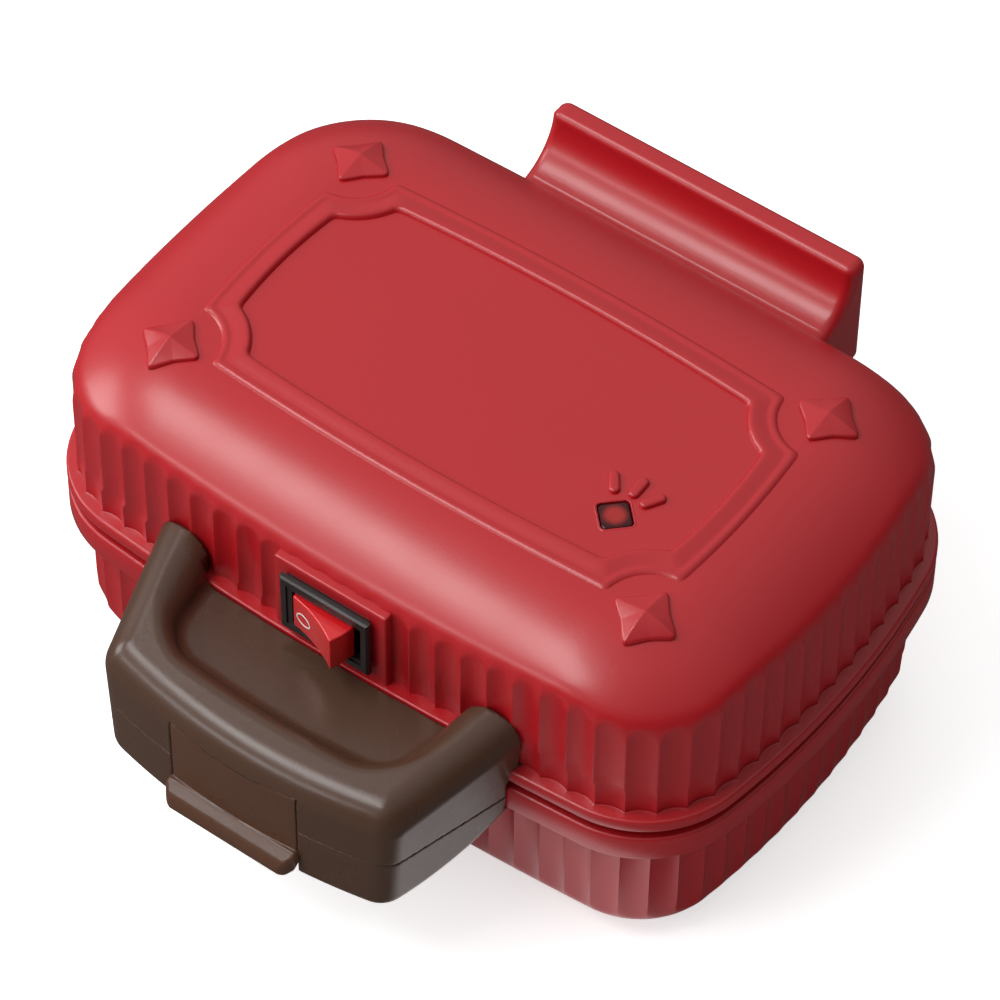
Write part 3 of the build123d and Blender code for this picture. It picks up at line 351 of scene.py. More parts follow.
def polygon_field(a, b, corners):
    """Distance to a closed line of corners, negative inside it."""
    best = np.full(a.shape, 1e9)
    inside = np.zeros(a.shape, bool)
    for (x0, y0), (x1, y1) in zip(corners, corners[1:] + corners[:1]):
        dx, dy = x1 - x0, y1 - y0
        share = np.clip(((a - x0) * dx + (b - y0) * dy) / (dx * dx + dy * dy), 0, 1)
        best = np.minimum(best, np.hypot(a - x0 - share * dx, b - y0 - share * dy))
        if dy != 0:
            crosses = ((b >= y0) != (b >= y1)) & (a < x0 + (b - y0) * dx / dy)
            inside ^= crosses
    return np.where(inside, -best, best)


def circle_through(a, m, b):
    (x1, y1), (x2, y2), (x3, y3) = a, m, b
    d = 2 * (x1 * (y2 - y3) + x2 * (y3 - y1) + x3 * (y1 - y2))
    cx = ((x1**2 + y1**2) * (y2 - y3) + (x2**2 + y2**2) * (y3 - y1) + (x3**2 + y3**2) * (y1 - y2)) / d
    cy = ((x1**2 + y1**2) * (x3 - x2) + (x2**2 + y2**2) * (x1 - x3) + (x3**2 + y3**2) * (x2 - x1)) / d
    return cx, cy, math.hypot(x1 - cx, y1 - cy)


# Outline
def unit(x, y):
    size = math.hypot(x, y)
    return x / size, y / size


def corner_centre():
    front_c = (0.0, HALF_DEPTH - FRONT_RADIUS)
    side_c = (HALF_WIDTH - SIDE_RADIUS, 0.0)
    to_front = FRONT_RADIUS - CORNER_RADIUS
    to_side = SIDE_RADIUS - CORNER_RADIUS
    span = math.hypot(side_c[0] - front_c[0], side_c[1] - front_c[1])
    ux, uy = unit(side_c[0] - front_c[0], side_c[1] - front_c[1])
    along = (to_front**2 - to_side**2 + span**2) / (2 * span)
    across = math.sqrt(to_front**2 - along**2)
    options = [(front_c[0] + along * ux - s * across * uy, front_c[1] + along * uy + s * across * ux)
               for s in (1, -1)]
    return max(options, key=lambda c: c[0] + c[1]), front_c, side_c


CORNER_C, FRONT_C, SIDE_C = corner_centre()
SIDE_ANGLE = math.atan2(CORNER_C[1] - SIDE_C[1], CORNER_C[0] - SIDE_C[0])
FRONT_ANGLE = math.atan2(CORNER_C[1] - FRONT_C[1], CORNER_C[0] - FRONT_C[0])
FLUTE_STEPS = (0.0, 0.035, 0.1, 0.2, 0.34, 0.5, 0.66, 0.8, 0.9, 0.965)


def outline_columns(inset):
    """At an inset: outline points, their normals, the core points under the dome, and the flute phase."""
    side_r, front_r, corner_r = SIDE_RADIUS - inset, FRONT_RADIUS - inset, CORNER_RADIUS - inset
    side_len = side_r * SIDE_ANGLE
    corner_len = corner_r * (FRONT_ANGLE - SIDE_ANGLE)
    front_len = front_r * (math.pi / 2 - FRONT_ANGLE)
    quarter = side_len + corner_len + front_len
    core_x = HALF_WIDTH - LID_WALL_INSET - DOME_REACH - DOME_CORNER
    core_y = HALF_DEPTH - LID_WALL_INSET - DOME_REACH - DOME_CORNER

    def place(s):
        if s <= side_len:
            angle = s / side_r
            centre, radius, share = SIDE_C, SIDE_RADIUS, s / side_len
            core = (core_x + DOME_CORNER, core_y * share)
        elif s <= side_len + corner_len:
            angle = SIDE_ANGLE + (s - side_len) / corner_r
            centre, radius = CORNER_C, CORNER_RADIUS
            turn = (s - side_len) / corner_len * math.pi / 2
            core = (core_x + DOME_CORNER * math.cos(turn), core_y + DOME_CORNER * math.sin(turn))
        else:
            angle = FRONT_ANGLE + (s - side_len - corner_len) / front_r
            centre, radius = FRONT_C, FRONT_RADIUS
            share = 1 - (s - side_len - corner_len) / front_len
            core = (core_x * share, core_y + DOME_CORNER)
        nx, ny = math.cos(angle), math.sin(angle)
        return (centre[0] + radius * nx, centre[1] + radius * ny), (nx, ny), core

    points, normals, cores, phases = [], [], [], []
    per_quarter = FLUTES // 4
    for q, (sx, sy) in enumerate(((1, 1), (-1, 1), (-1, -1), (1, -1))):
        for k in range(per_quarter):
            for t in FLUTE_STEPS:
                share = (k + t) / per_quarter
                if q % 2:
                    share = 1 - share
                p, n, c = place(share * quarter)
                points.append((p[0] * sx, p[1] * sy))
                normals.append((n[0] * sx, n[1] * sy))
                cores.append((c[0] * sx, c[1] * sy))
                phases.append(t)
    return np.array(points), np.array(normals), np.array(cores), np.array(phases)


def flute_inset(phase, depth):
    """How far a flute's arc lies inside its cusps."""
    chord = 4.9
    radius = (chord**2 / 4 + depth**2) / (2 * depth)
    offset = (phase - 0.5) * chord
    return np.sqrt(radius**2 - offset**2) - (radius - depth)


def inset_at(x, y):
    """Distance inside the outline."""
    x, y = np.abs(x), np.abs(y)
    turn = np.arctan2(y - CORNER_C[1], x - CORNER_C[0])
    corner = CORNER_RADIUS - np.hypot(x - CORNER_C[0], y - CORNER_C[1])
    side = SIDE_RADIUS - np.hypot(x - SIDE_C[0], y - SIDE_C[1])
    front = FRONT_RADIUS - np.hypot(x - FRONT_C[0], y - FRONT_C[1])
    in_corner = (turn >= SIDE_ANGLE) & (turn <= FRONT_ANGLE)
    return np.where(in_corner, corner, np.minimum(side, front))


def dome_height(x, y):
    """Height of the cushion over a point, and the cosine of its slope."""
    core_x = HALF_WIDTH - LID_WALL_INSET - DOME_REACH - DOME_CORNER
    core_y = HALF_DEPTH - LID_WALL_INSET - DOME_REACH - DOME_CORNER
    dx = np.maximum(np.abs(x) - core_x, 0)
    dy = np.maximum(np.abs(y) - core_y, 0)
    reach = np.clip(np.hypot(dx, dy) - DOME_CORNER, 0, DOME_RADIUS * 0.985)
    fall = np.sqrt(DOME_RADIUS**2 - reach**2)
    return LID_TOP - DOME_RADIUS + fall, np.maximum(fall / DOME_RADIUS, 0.3)


def soft_max(a, b, width):
    """Larger of two, blended over a width where they meet."""
    return np.maximum(a, b) + np.maximum(width - np.abs(a - b), 0)**2 / (4 * width)


def round_max(a, b, radius):
    """Larger of two, with a round corner where they meet."""
    corner = np.hypot(np.maximum(a + radius, 0), np.maximum(b + radius, 0))
    return corner + np.minimum(np.maximum(a, b) + radius, 0) - radius


def fillet_max(a, b, radius, facing):
    """Larger of two, with an exact round corner; facing is the cosine between the faces' normals."""
    sine = np.sqrt(1 - facing * facing)
    du, dv = a + radius, (b - facing * a) / sine + radius * (1 - facing) / sine
    beta = dv / sine
    alpha = du - facing * beta
    return np.where((alpha > 0) & (beta > 0), np.hypot(du, dv) - radius, np.maximum(a, b))


def lid_rows():
    outline, normal, core, phase = outline_columns(LID_WALL_INSET)
    flute = LID_WALL_INSET + flute_inset(phase, FLUTE_DEPTH)

    def ring(inset, z):
        inset = np.broadcast_to(inset, phase.shape)
        plan = outline - normal * inset[:, None]
        return np.column_stack([plan, np.full(len(plan), z)])

    anchor_z = 52.0
    across = outline - core
    reach = np.hypot(across[:, 0], across[:, 1])
    way = across / reach[:, None]
    middle = core - way * 1.0

    def solid(dist, angle):
        plan = middle + way * (dist * np.cos(angle))[:, None]
        z = anchor_z + dist * np.sin(angle)
        inset = inset_at(plan[:, 0], plan[:, 1])
        wall = LID_WALL_INSET - inset
        height, steep = dome_height(plan[:, 0], plan[:, 1])
        smooth = soft_max(wall, (z - height) * steep, SHOULDER_BLEND)
        return soft_max(smooth, flute - inset, FLUTE_BLEND), plan, z

    angles = list(np.linspace(math.radians(3), math.radians(20), 4))
    angles += list(np.linspace(math.radians(21), math.radians(38), 44))
    angles += list(np.linspace(math.radians(40), math.radians(87), 26))
    rows = []
    for angle in angles:
        low = np.full(len(phase), 3.0)
        high = np.full(len(phase), 70.0)
        tilt = np.full(len(phase), angle)
        for _ in range(34):
            mid = (low + high) / 2
            value, _, _ = solid(mid, tilt)
            low = np.where(value < 0, mid, low)
            high = np.where(value < 0, high, mid)
        _, plan, z = solid((low + high) / 2, tilt)
        rows.append(np.column_stack([plan, z]))

    inner = [ring(19.4, 77.4), ring(19.3, 77.3), ring(5.5, 63.6), ring(5.4, 63.4), ring(5.4, LID_BOTTOM + 0.3),
             ring(5.2, LID_BOTTOM)]
    flange = [ring(0.45, LID_BOTTOM), ring(0.12, LID_BOTTOM + 0.12), ring(0.0, LID_BOTTOM + 0.45),
              ring(0.0, LID_LEDGE - 0.75), ring(0.08, LID_LEDGE - 0.4), ring(0.3, LID_LEDGE - 0.12),
              ring(0.7, LID_LEDGE)]
    foot = [ring(flute - 0.45, LID_LEDGE), ring(flute - 0.12, LID_LEDGE + 0.12), ring(flute, LID_LEDGE + 0.5)]
    wall = [ring(flute, z) for z in (49.0, anchor_z)]
    cap = [np.column_stack([core - way * 1.5, np.full(len(phase), LID_TOP)])]
    return inner + flange + foot + wall + rows + cap


def base_rows():
    outline, normal, _, phase = outline_columns(BASE_WALL_INSET)
    flute = BASE_WALL_INSET + flute_inset(phase, FLUTE_DEPTH)

    def ring(inset, z):
        inset = np.broadcast_to(inset, phase.shape)
        plan = outline - normal * inset[:, None]
        return np.column_stack([plan, np.broadcast_to(z, phase.shape)])

    bottom_radius = 8.6
    rows = [ring(BASE_WALL_INSET + bottom_radius + 3, BASE_BOTTOM),
            ring(BASE_WALL_INSET + bottom_radius, BASE_BOTTOM)]
    for k in range(1, 25):
        turn = math.pi / 2 * k / 24
        round_inset = BASE_WALL_INSET + bottom_radius * (1 - math.sin(turn))
        z = BASE_BOTTOM + bottom_radius * (1 - math.cos(turn))
        smooth = np.maximum(round_inset, flute) + 0.12 * np.exp(-np.abs(round_inset - flute) / 0.25)
        rows.append(ring(smooth, z))
    rows += [ring(flute, z) for z in (15.0, 22.0, 30.0, BASE_RIM_BOTTOM - 0.5)]
    rows += [ring(flute - 0.12, BASE_RIM_BOTTOM - 0.1), ring(flute - 0.5, BASE_RIM_BOTTOM)]
    rows += [ring(0.45, BASE_RIM_BOTTOM), ring(0.12, BASE_RIM_BOTTOM + 0.12), ring(0.0, BASE_RIM_BOTTOM + 0.45),
             ring(0.0, BASE_RIM_TOP - 0.75), ring(0.08, BASE_RIM_TOP - 0.4), ring(0.3, BASE_RIM_TOP - 0.12),
             ring(0.7, BASE_RIM_TOP), ring(7.0, BASE_RIM_TOP), ring(7.2, BASE_RIM_TOP - 0.3),
             ring(7.2, 10.0), ring(11.0, 5.6), ring(14.0, 5.5)]
    return rows


SWITCH_Z, BEZEL_Y = 60.71, -56.5
WINDOW_X, WINDOW_Z = 9.7, 6.7
lid = ring_mesh("lid_skin", lid_rows(), ENAMEL)
cut(lid, cutter_box(-WINDOW_X, WINDOW_X, -60.0, -45.0, SWITCH_Z - WINDOW_Z, SWITCH_Z + WINDOW_Z))
crease_by_angle(lid, 50)
finish_piece(lid, "lid", "red_enamel", "lid_shell")
base = ring_mesh("base_skin", base_rows(), ENAMEL)
cut(base, cutter_tube((0.0, 46.0, 17.0), 1, 4.5, 10.0),
    *[cutter_tube((x, y, 1.0), 2, 3.2, 3.5) for x in (-44.0, 44.0) for y in (-34.0, 34.0)])
crease_by_angle(base, 50)
finish_piece(base, "base", "red_enamel", "base_shell")

# Bead on the lid's top
BORDER_X, BORDER_Y, BORDER_NOTCH, BORDER_SHIFT = 56.9, 29.6, 10.0, -1.1
BEAD = [(-0.1, -0.4), (0.0, -0.02), (0.35, 0.30), (0.8, 0.50), (1.15, 0.53), (1.5, 0.46), (1.9, 0.36),
        (2.25, 0.40), (3.2, 0.66), (4.3, 0.92), (4.75, 0.99), (5.1, 0.99), (5.4, 0.86), (5.65, 0.62),
        (5.85, 0.30), (6.0, -0.02), (6.1, -0.4)]
RUN_POINTS, NOTCH_POINTS, CORNER_REACH = 24, 12, 1.6


def bead_loop(s):
    """The bead's line at an inset from its outer edge."""
    half_x, half_y, radius = BORDER_X - s, BORDER_Y - s, BORDER_NOTCH + s
    cut = math.sqrt(radius**2 - s**2)
    end_x, end_y = BORDER_X - cut, BORDER_Y - cut
    bow_front, bow_side = 1.6, 1.0
    points = []

    def run(axis, sign):
        for k in range(RUN_POINTS):
            t = 1 - 2 * k / RUN_POINTS
            if axis == "x":
                points.append((sign * (half_x + bow_side * (1 - t * t)), -sign * end_y * t))
            else:
                points.append((sign * end_x * t, sign * (half_y + bow_front * (1 - t * t))))

    def notch(sx, sy, a0, a1):
        for k in range(NOTCH_POINTS):
            a = a0 + (a1 - a0) * k / NOTCH_POINTS
            points.append((sx * BORDER_X + radius * math.cos(a), sy * BORDER_Y + radius * math.sin(a)))

    low = math.asin(s / radius)
    run("x", 1)
    notch(1, 1, -math.pi / 2 - low, -math.pi + low)
    run("y", 1)
    notch(-1, 1, -low, -math.pi / 2 + low)
    run("x", -1)
    notch(-1, -1, math.pi / 2 - low, low)
    run("y", -1)
    notch(1, -1, math.pi - low, math.pi / 2 + low)
    return soft_corners(points)


def soft_corners(points):
    """The bead's line with its corners, where a run meets a notch, cut to short curves."""
    smooth = []
    for index, corner in enumerate(points):
        if index % (RUN_POINTS + NOTCH_POINTS) not in (0, RUN_POINTS):
            smooth.append(corner)
            continue
        ends = []
        for other in (points[index - 1], points[(index + 1) % len(points)]):
            dx, dy = other[0] - corner[0], other[1] - corner[1]
            size = math.hypot(dx, dy)
            reach = min(CORNER_REACH, 0.85 * size)
            ends.append((corner[0] + dx / size * reach, corner[1] + dy / size * reach))
        for step in range(5):
            t = step / 4
            smooth.append(tuple((1 - t)**2 * ends[0][i] + 2 * t * (1 - t) * corner[i] + t * t * ends[1][i]
                                for i in range(2)))
    return smooth


def bead_rows():
    rows = []
    for s, h in BEAD:
        plan = np.array(bead_loop(max(s, 0.0)))
        plan[:, 1] += BORDER_SHIFT
        ground, _ = dome_height(plan[:, 0], plan[:, 1])
        rows.append(np.column_stack([plan, ground + h]))
    return rows


bead = ring_mesh("lid_bead", bead_rows(), ENAMEL, cap_first=False, cap_last=False)
crease_by_angle(bead, 45)
finish_piece(bead, "lid", "red_enamel")


STUD_X, STUD_Y = 56.25, 30.17


def stud(name, sx, sy):
    """Four-pointed pyramid with soft ridges and nearly straight sides."""
    reach, waist, height, foot = 7.4, 4.75, 2.1, 0.55
    cx, cy = sx * STUD_X, sy * STUD_Y + BORDER_SHIFT

    def field(x, y, z):
        u, v = np.abs(x - cx), np.abs(y - cy)
        big, less = np.maximum(u, v), np.minimum(u, v)
        half = waist / math.sqrt(2)
        side = ((big - half) * half + (less - half) * (reach - half)) / math.hypot(half, reach - half)
        wall = soft_max(side, big - reach + 0.5, 0.8)
        peak = LID_TOP + height
        ground, _ = dome_height(x, y)
        drop = (height - foot + LID_TOP - ground) / waist * 0.93
        slope = z - peak + drop * np.maximum(side + waist, 0)
        return soft_max(wall, slope * 0.93, 0.45)

    obj = field_mesh(name, field, (cx - 8.2, cy - 8.2, 77.0), (cx + 8.2, cy + 8.2, 84.0), 0.2, ENAMEL)
    return finish_piece(obj, "lid", "red_enamel")


for k, (sx, sy) in enumerate(((1, 1), (-1, 1), (-1, -1), (1, -1))):
    stud("lid_stud_%d" % (k + 1), sx, sy)


def dash(name, x, y, turn):
    """Short raised dash with round ends and a soft top."""
    half, width, height = 2.75, 1.15, 0.85
    rows = []
    for s, z in ((0.0, -0.3), (0.0, 0.25), (0.08, 0.5), (0.25, 0.7), (0.5, 0.82), (0.75, height)):
        loop = []
        for k in range(40):
            a = 2 * math.pi * k / 40
            shift = half - width if math.cos(a) >= 0 else -(half - width)
            px, py = shift + (width - s) * math.cos(a), (width - s) * math.sin(a)
            c, w = math.cos(math.radians(turn)), math.sin(math.radians(turn))
            loop.append((x + px * c - py * w, y + px * w + py * c, LID_TOP + z))
        rows.append(loop)
    obj = ring_mesh(name, rows, ENAMEL)
    return finish_piece(obj, "lid", "red_enamel")


LAMP_X, LAMP_Y = 37.5, -14.7
for k, bearing in enumerate((127, 91, 60)):
    away = math.radians(bearing)
    dash("lamp_dash_%d" % (k + 1), LAMP_X + 7.8 * math.cos(away), LAMP_Y + 7.8 * math.sin(away), bearing)


# Roll at the back, with the pocket and the ears for the hinge
HINGE_Y, HINGE_Z = 63.5, 44.5
ROLL_HALF_X, ROLL_BACK, ROLL_TOP, ROLL_LOW, ROLL_BOTTOM = 37.2, 72.0, 75.5, 64.4, 48.0
SCOOP_CY, SCOOP_CZ, SCOOP_R = circle_through((66.7, 75.0), (63.7, 67.6), (57.6, 64.4))


def roll_field(x, y, z):
    away = SCOOP_R - np.hypot(y - SCOOP_CY, z - SCOOP_CZ)
    scoop = np.where((y < SCOOP_CY + 0.5) & (z < SCOOP_CZ), np.maximum(away, z - ROLL_LOW), away)
    scoop = np.where((y < 58.5) & (z < ROLL_LOW + 4), z - ROLL_LOW, scoop)
    crest = round_max(round_max(y - ROLL_BACK, scoop, 2.4), z - ROLL_TOP, 1.6)
    body = round_max(crest, np.abs(x) - ROLL_HALF_X, 2.4)
    body = round_max(body, ROLL_BOTTOM - z, 0.8)
    pocket = box_field(x, y, z, -34.2, 34.2, 57.5, 69.0, 40.0, 60.0, 0.8)
    body = round_max(body, -pocket, 0.6)
    side = np.abs(np.abs(x) - 29.0) - 3.0
    arm = np.maximum(np.abs(y - HINGE_Y) - 4.4, np.maximum(HINGE_Z - z, z - 61.5))
    ear = round_max(side, np.minimum(arm, np.hypot(y - HINGE_Y, z - HINGE_Z) - 4.4), 0.5)
    return np.maximum(np.minimum(body, ear), 51.6 - y)


roll = field_mesh("lid_roll", roll_field, (-38.0, 50.6, 39.0), (38.0, 73.0, 77.0), 0.45, ENAMEL)
finish_piece(roll, "lid", "red_enamel")

LUG_LINE = [(50.0, 40.6), (55.4, 40.6), (57.0, 42.2), (58.7, 44.5), (63.5, 44.5), (63.5, 39.7), (57.0, 30.1),
            (50.0, 28.0)]


def lug_field(x, y, z):
    outline = np.minimum(polygon_field(y, z, LUG_LINE), np.hypot(y - HINGE_Y, z - HINGE_Z) - 4.8)
    return round_max(np.abs(x) - 3.2, outline, 0.5)


for name, middle in (("hinge_lug_left", -22.2), ("hinge_lug_right", 22.2)):
    obj = field_mesh(name, lambda x, y, z: lug_field(x - middle, y, z), (middle - 4.0, 49.0, 27.0),
                     (middle + 4.0, 69.2, 50.2), 0.4, ENAMEL)
    finish_piece(obj, "base", "red_enamel")

# Switch's surroundings
def boss_field(x, y, z):
    """Flat panel that the switch sits in."""
    block = box_field(x, y, z, -13.2, 13.4, -54.4, -46.0, 50.0, 70.5, 0.4)
    window = box_field(x, y, z, -WINDOW_X, WINDOW_X, -60.0, -40.0, SWITCH_Z - WINDOW_Z, SWITCH_Z + WINDOW_Z)
    return np.maximum(block, -window)


def face_field(x, y, z):
    """Flat of the switch round the rocker."""
    block = box_field(x, y, z, -9.6, 9.6, -56.2, -53.2, SWITCH_Z - 6.6, SWITCH_Z + 6.6)
    window = box_field(x, y, z, -7.55, 9.15, -60.0, -40.0, SWITCH_Z - 4.6, SWITCH_Z + 4.6)
    return round_max(block, -window, 0.15)


piece = field_mesh("switch_boss", boss_field, (-14.0, -55.4, 49.0), (14.2, -47.0, 71.4), 0.3, ENAMEL)
crease_by_angle(piece, 50)
finish_piece(piece, "lid", "red_enamel")
piece = field_mesh("switch_face", face_field, (-10.2, -56.8, 53.4), (10.2, -52.6, 68.0), 0.25, BEZEL)
crease_by_angle(piece, 50)
finish_piece(piece, "lid", "black_gloss")


def ledge_field(x, y, z):
    """Raised strip under the switch, along the floor of the handle."""
    inset = inset_at(x, y)
    strip = np.maximum(np.abs(x) - 33.0, np.maximum(inset - 6.0, y))
    return np.maximum(strip, round_max(0.05 - inset, np.maximum(z - 50.2, 43.5 - z), 0.35))


piece = field_mesh("front_ledge", ledge_field, (-34.5, -57.5, 42.0), (34.5, -46.0, 52.0), 0.3, ENAMEL)
finish_piece(piece, "lid", "red_enamel")

# Handle, in two halves
SEAM_Z, SEAM_HALF, SEAM_EDGE = 38.4, 0.05, 0.12
BOW_Y, BOW_R = 58.8, 144.6
SIDE_COS, SIDE_SIN = 0.962, 0.269
TOP_RISE = 0.22
WELL_FLOOR = 49.6
PIN_Y, PIN_Z = -80.5, 43.5
SLOT_HALF, SLOT_RADIUS, HUB_RADIUS = 15.2, 6.2, 6.45


def handle_plan(x, y, z):
    """Distance to the handle's outline from above, and how far it faces the front there."""
    x = np.abs(x)
    side = (x - 39.7 - (y + 60.0) * 0.28 - (z - 24.5) * 0.05) * SIDE_COS
    out = np.hypot(x, y - BOW_Y)
    front = out - BOW_R
    facing = x / out * SIDE_COS - (y - BOW_Y) / out * SIDE_SIN
    return fillet_max(side, front, 6.0, facing), 1 / (1 + np.exp(np.clip((side - front) * 1.2, -30, 30)))


def ease(t):
    t = np.clip(t, 0, 1)
    return t * t * (3 - 2 * t)


def handle_top_field(x, y, z):
    """Outside of the handle: its outline with a round top edge."""
    cosine = math.cos(math.atan(TOP_RISE))
    slope = (z - (59.0 + (y + 53.0) * TOP_RISE)) * cosine
    plan, ahead = handle_plan(x, y, z)
    return fillet_max(plan, slope, 6.8, TOP_RISE * cosine * (0.2 + 0.8 * ahead))


def well_field(x, y, z):
    """Finger well: steep at the lid, sloping at the front."""
    toward = np.clip((-y - 56.0) / 18.0, 0, 1)
    side = np.abs(x) - (29.4 + 0.2 * (y + 55.0))
    front = -y - (72.6 - 1.6 * np.minimum((x / 26.5)**2, 1.5))
    plan = round_max(side, front, 6.0)
    draft = 0.18 + 0.36 * toward
    return round_max((plan - (z - WELL_FLOOR) * draft) / np.sqrt(1 + draft * draft), WELL_FLOOR - z, 1.8)


def upper_field(x, y, z):
    """Upper half: the top with its well, less the latch's slot and what the lid takes up."""
    rim = 2.6 + 2.6 * ease((y + 74.0) / 18.0)
    solid = round_max(handle_top_field(x, y, z), -well_field(x, y, z), rim)
    solid = round_max(solid, SEAM_Z + SEAM_HALF - z, SEAM_EDGE)
    hollow = box_field(x, y, z, -31.5, 31.5, -76.8, -58.5, 30.0, 45.2, 0.8)
    solid = round_max(solid, -hollow, 0.5)
    hub = np.hypot(y - PIN_Y, z - PIN_Z) - SLOT_RADIUS
    slot = np.minimum(hub, np.maximum(y - PIN_Y - SLOT_RADIUS, z - PIN_Z))
    solid = np.maximum(solid, -np.maximum(np.abs(x) - SLOT_HALF, slot))
    inset = inset_at(x, y)
    clear = np.where(np.abs(x) < 31.2, -0.1 - inset, np.maximum(-0.4 - inset, z - 43.0))
    deep = np.where(z > 46.4, 2.2, 4.2)
    return np.maximum(solid, -np.minimum(deep - inset, clear))


def lower_field(x, y, z):
    """Lower half: the foot with the latch's slot and its catch."""
    bottom = np.hypot(np.maximum(y + 78.0, 0), z - 66.56) - 42.56
    solid = round_max(handle_plan(x, y, z)[0], bottom, 3.0)
    hollow = box_field(x, y, z, -31.5, 31.5, -76.8, -62.0, 10.0, 35.9, 0.8)
    solid = round_max(solid, -hollow, 0.5)
    solid = np.minimum(solid, box_field(x, y, z, -22.0, 22.0, -62.5, -48.0, 27.0, 38.2, 0.6))
    slot = np.maximum(np.abs(x) - SLOT_HALF, y + 81.4)
    solid = np.maximum(solid, -slot)
    catch = polygon_field(y, z, [(-80.4, 34.2), (-82.8, 33.2), (-82.8, 31.6), (-80.4, 31.6)])
    solid = np.minimum(solid, round_max(np.abs(x) - 9.0, catch, 0.2))
    solid = round_max(solid, z - SEAM_Z + SEAM_HALF, SEAM_EDGE)
    roof = np.hypot(y - PIN_Y, z - PIN_Z) - SLOT_RADIUS
    solid = np.maximum(solid, -np.maximum(np.abs(x) - SLOT_HALF, roof))
    inset = inset_at(x, y)
    return np.maximum(solid, -np.minimum(4.7 - inset, np.maximum(-0.1 - inset, 34.3 - z)))


def latch_field(x, y, z):
    """Latch: the panel on its round hub, the lip for the finger and the hook behind."""
    front = np.hypot(x, y - BOW_Y) - BOW_R + 0.03
    panel = np.maximum(np.maximum(y + 83.3, 29.6 - z), z - PIN_Z)
    hub = np.maximum(np.hypot(y - PIN_Y, z - PIN_Z) - HUB_RADIUS, y - PIN_Y - 2.8)
    body = round_max(np.minimum(panel, hub), front, 0.25)
    body = round_max(body, np.abs(x) - 15.0, 0.2)
    lip = polygon_field(y, z, [(-83.3, 32.4), (-86.0, 32.4), (-86.5, 32.0), (-91.0, 28.2), (-91.0, 26.3),
                               (-87.8, 26.9), (-83.3, 29.6)])
    reach = np.abs(x) - 15.6 + np.maximum(-y - 86.6, 0) * 0.75
    tongue = round_max(round_max(lip, reach, 0.9), -89.0 - y, 1.4)
    hook = polygon_field(y, z, [(-83.9, 31.0), (-83.2, 31.0), (-83.2, 30.2), (-83.9, 29.6)])
    return np.minimum(np.minimum(body, tongue), np.maximum(hook, np.abs(x) - 9.0))


piece = field_mesh("handle_top", upper_field, (-45.0, -87.0, 37.6), (45.0, -48.4, 61.6), 0.36, BROWN)
finish_piece(piece, "lid", "brown_plastic", "handle_upper")
piece = field_mesh("handle_foot", lower_field, (-45.0, -87.0, 22.8), (45.0, -46.6, 39.4), 0.45, BROWN)
finish_piece(piece, "base", "brown_plastic", "handle_lower")
piece = field_mesh("latch_tongue", latch_field, (-17.0, -90.6, 24.6), (17.0, -76.0, 51.0), 0.22, LATCH_BROWN)
finish_piece(piece, "latch", "brown_latch", "latch")

# Rocker: a hollow-faced bar with its left end pressed in
FACE_LINE = circle_through((-6.9, 0.4), (-0.35, 2.05), (5.35, 4.9))


def face_out(x):
    """How far the rocker's face stands in front of the bezel."""
    cx, cy, r = FACE_LINE
    return cy - math.sqrt(r**2 - (x - cx)**2) if cy > 0 else cy + math.sqrt(r**2 - (x - cx)**2)


def rocker_piece():
    line = [(-7.15, -1.8)]
    line += [(-6.9 + 12.25 * k / 20, face_out(-6.9 + 12.25 * k / 20)) for k in range(21)]
    line += [(6.35, 2.2), (6.95, -0.8), (2.0, -5.5), (-2.0, -5.5)]
    half = 4.35
    count = len(line)
    vertices = [(x, BEZEL_Y - out, SWITCH_Z + side * half) for side in (-1, 1) for x, out in line]
    faces = [tuple(range(count)), tuple(range(count, 2 * count))[::-1]]
    faces += [(k, (k + 1) % count, count + (k + 1) % count, count + k) for k in range(count)]
    obj = add_mesh("rocker_bar", to_row(vertices), faces, ROCKER)
    fix_normals(obj)
    crease_by_angle(obj, 30)
    bevel(obj, 0.38, 3, 30)
    finish_piece(obj, "rocker", "red_rocker", "rocker")


def rocker_ring():
    """Off mark printed on the pressed end."""
    rows = []
    for size, lift in ((-0.17, 0.0), (-0.17, 0.05), (0.17, 0.05), (0.17, 0.0)):
        loop = []
        for k in range(48):
            a = 2 * math.pi * k / 48
            x = -3.9 + (1.85 + size) * math.cos(a)
            loop.append((x, BEZEL_Y - face_out(x) - lift, SWITCH_Z - 0.35 + (1.4 + size) * math.sin(a)))
        rows.append(loop)
    rows.append(rows[0])
    obj = ring_mesh("rocker_mark", rows, MARK, cap_first=False, cap_last=False)
    finish_piece(obj, "rocker", "red_rocker")


rocker_piece()
rocker_ring()


# Lamp lens, sunk in its window
def rounded_square(half, corner, z, count=8):
    loop = []
    for k in range(4):
        for j in range(count + 1):
            a = math.pi / 2 * (k + j / count)
            sx = 1 if k in (0, 3) else -1
            sy = 1 if k in (0, 1) else -1
            u = sx * (half - corner) + corner * math.cos(a)
            v = sy * (half - corner) + corner * math.sin(a)
            loop.append((LAMP_X + (u - v) * math.sqrt(0.5), LAMP_Y + (u + v) * math.sqrt(0.5), z))
    return loop


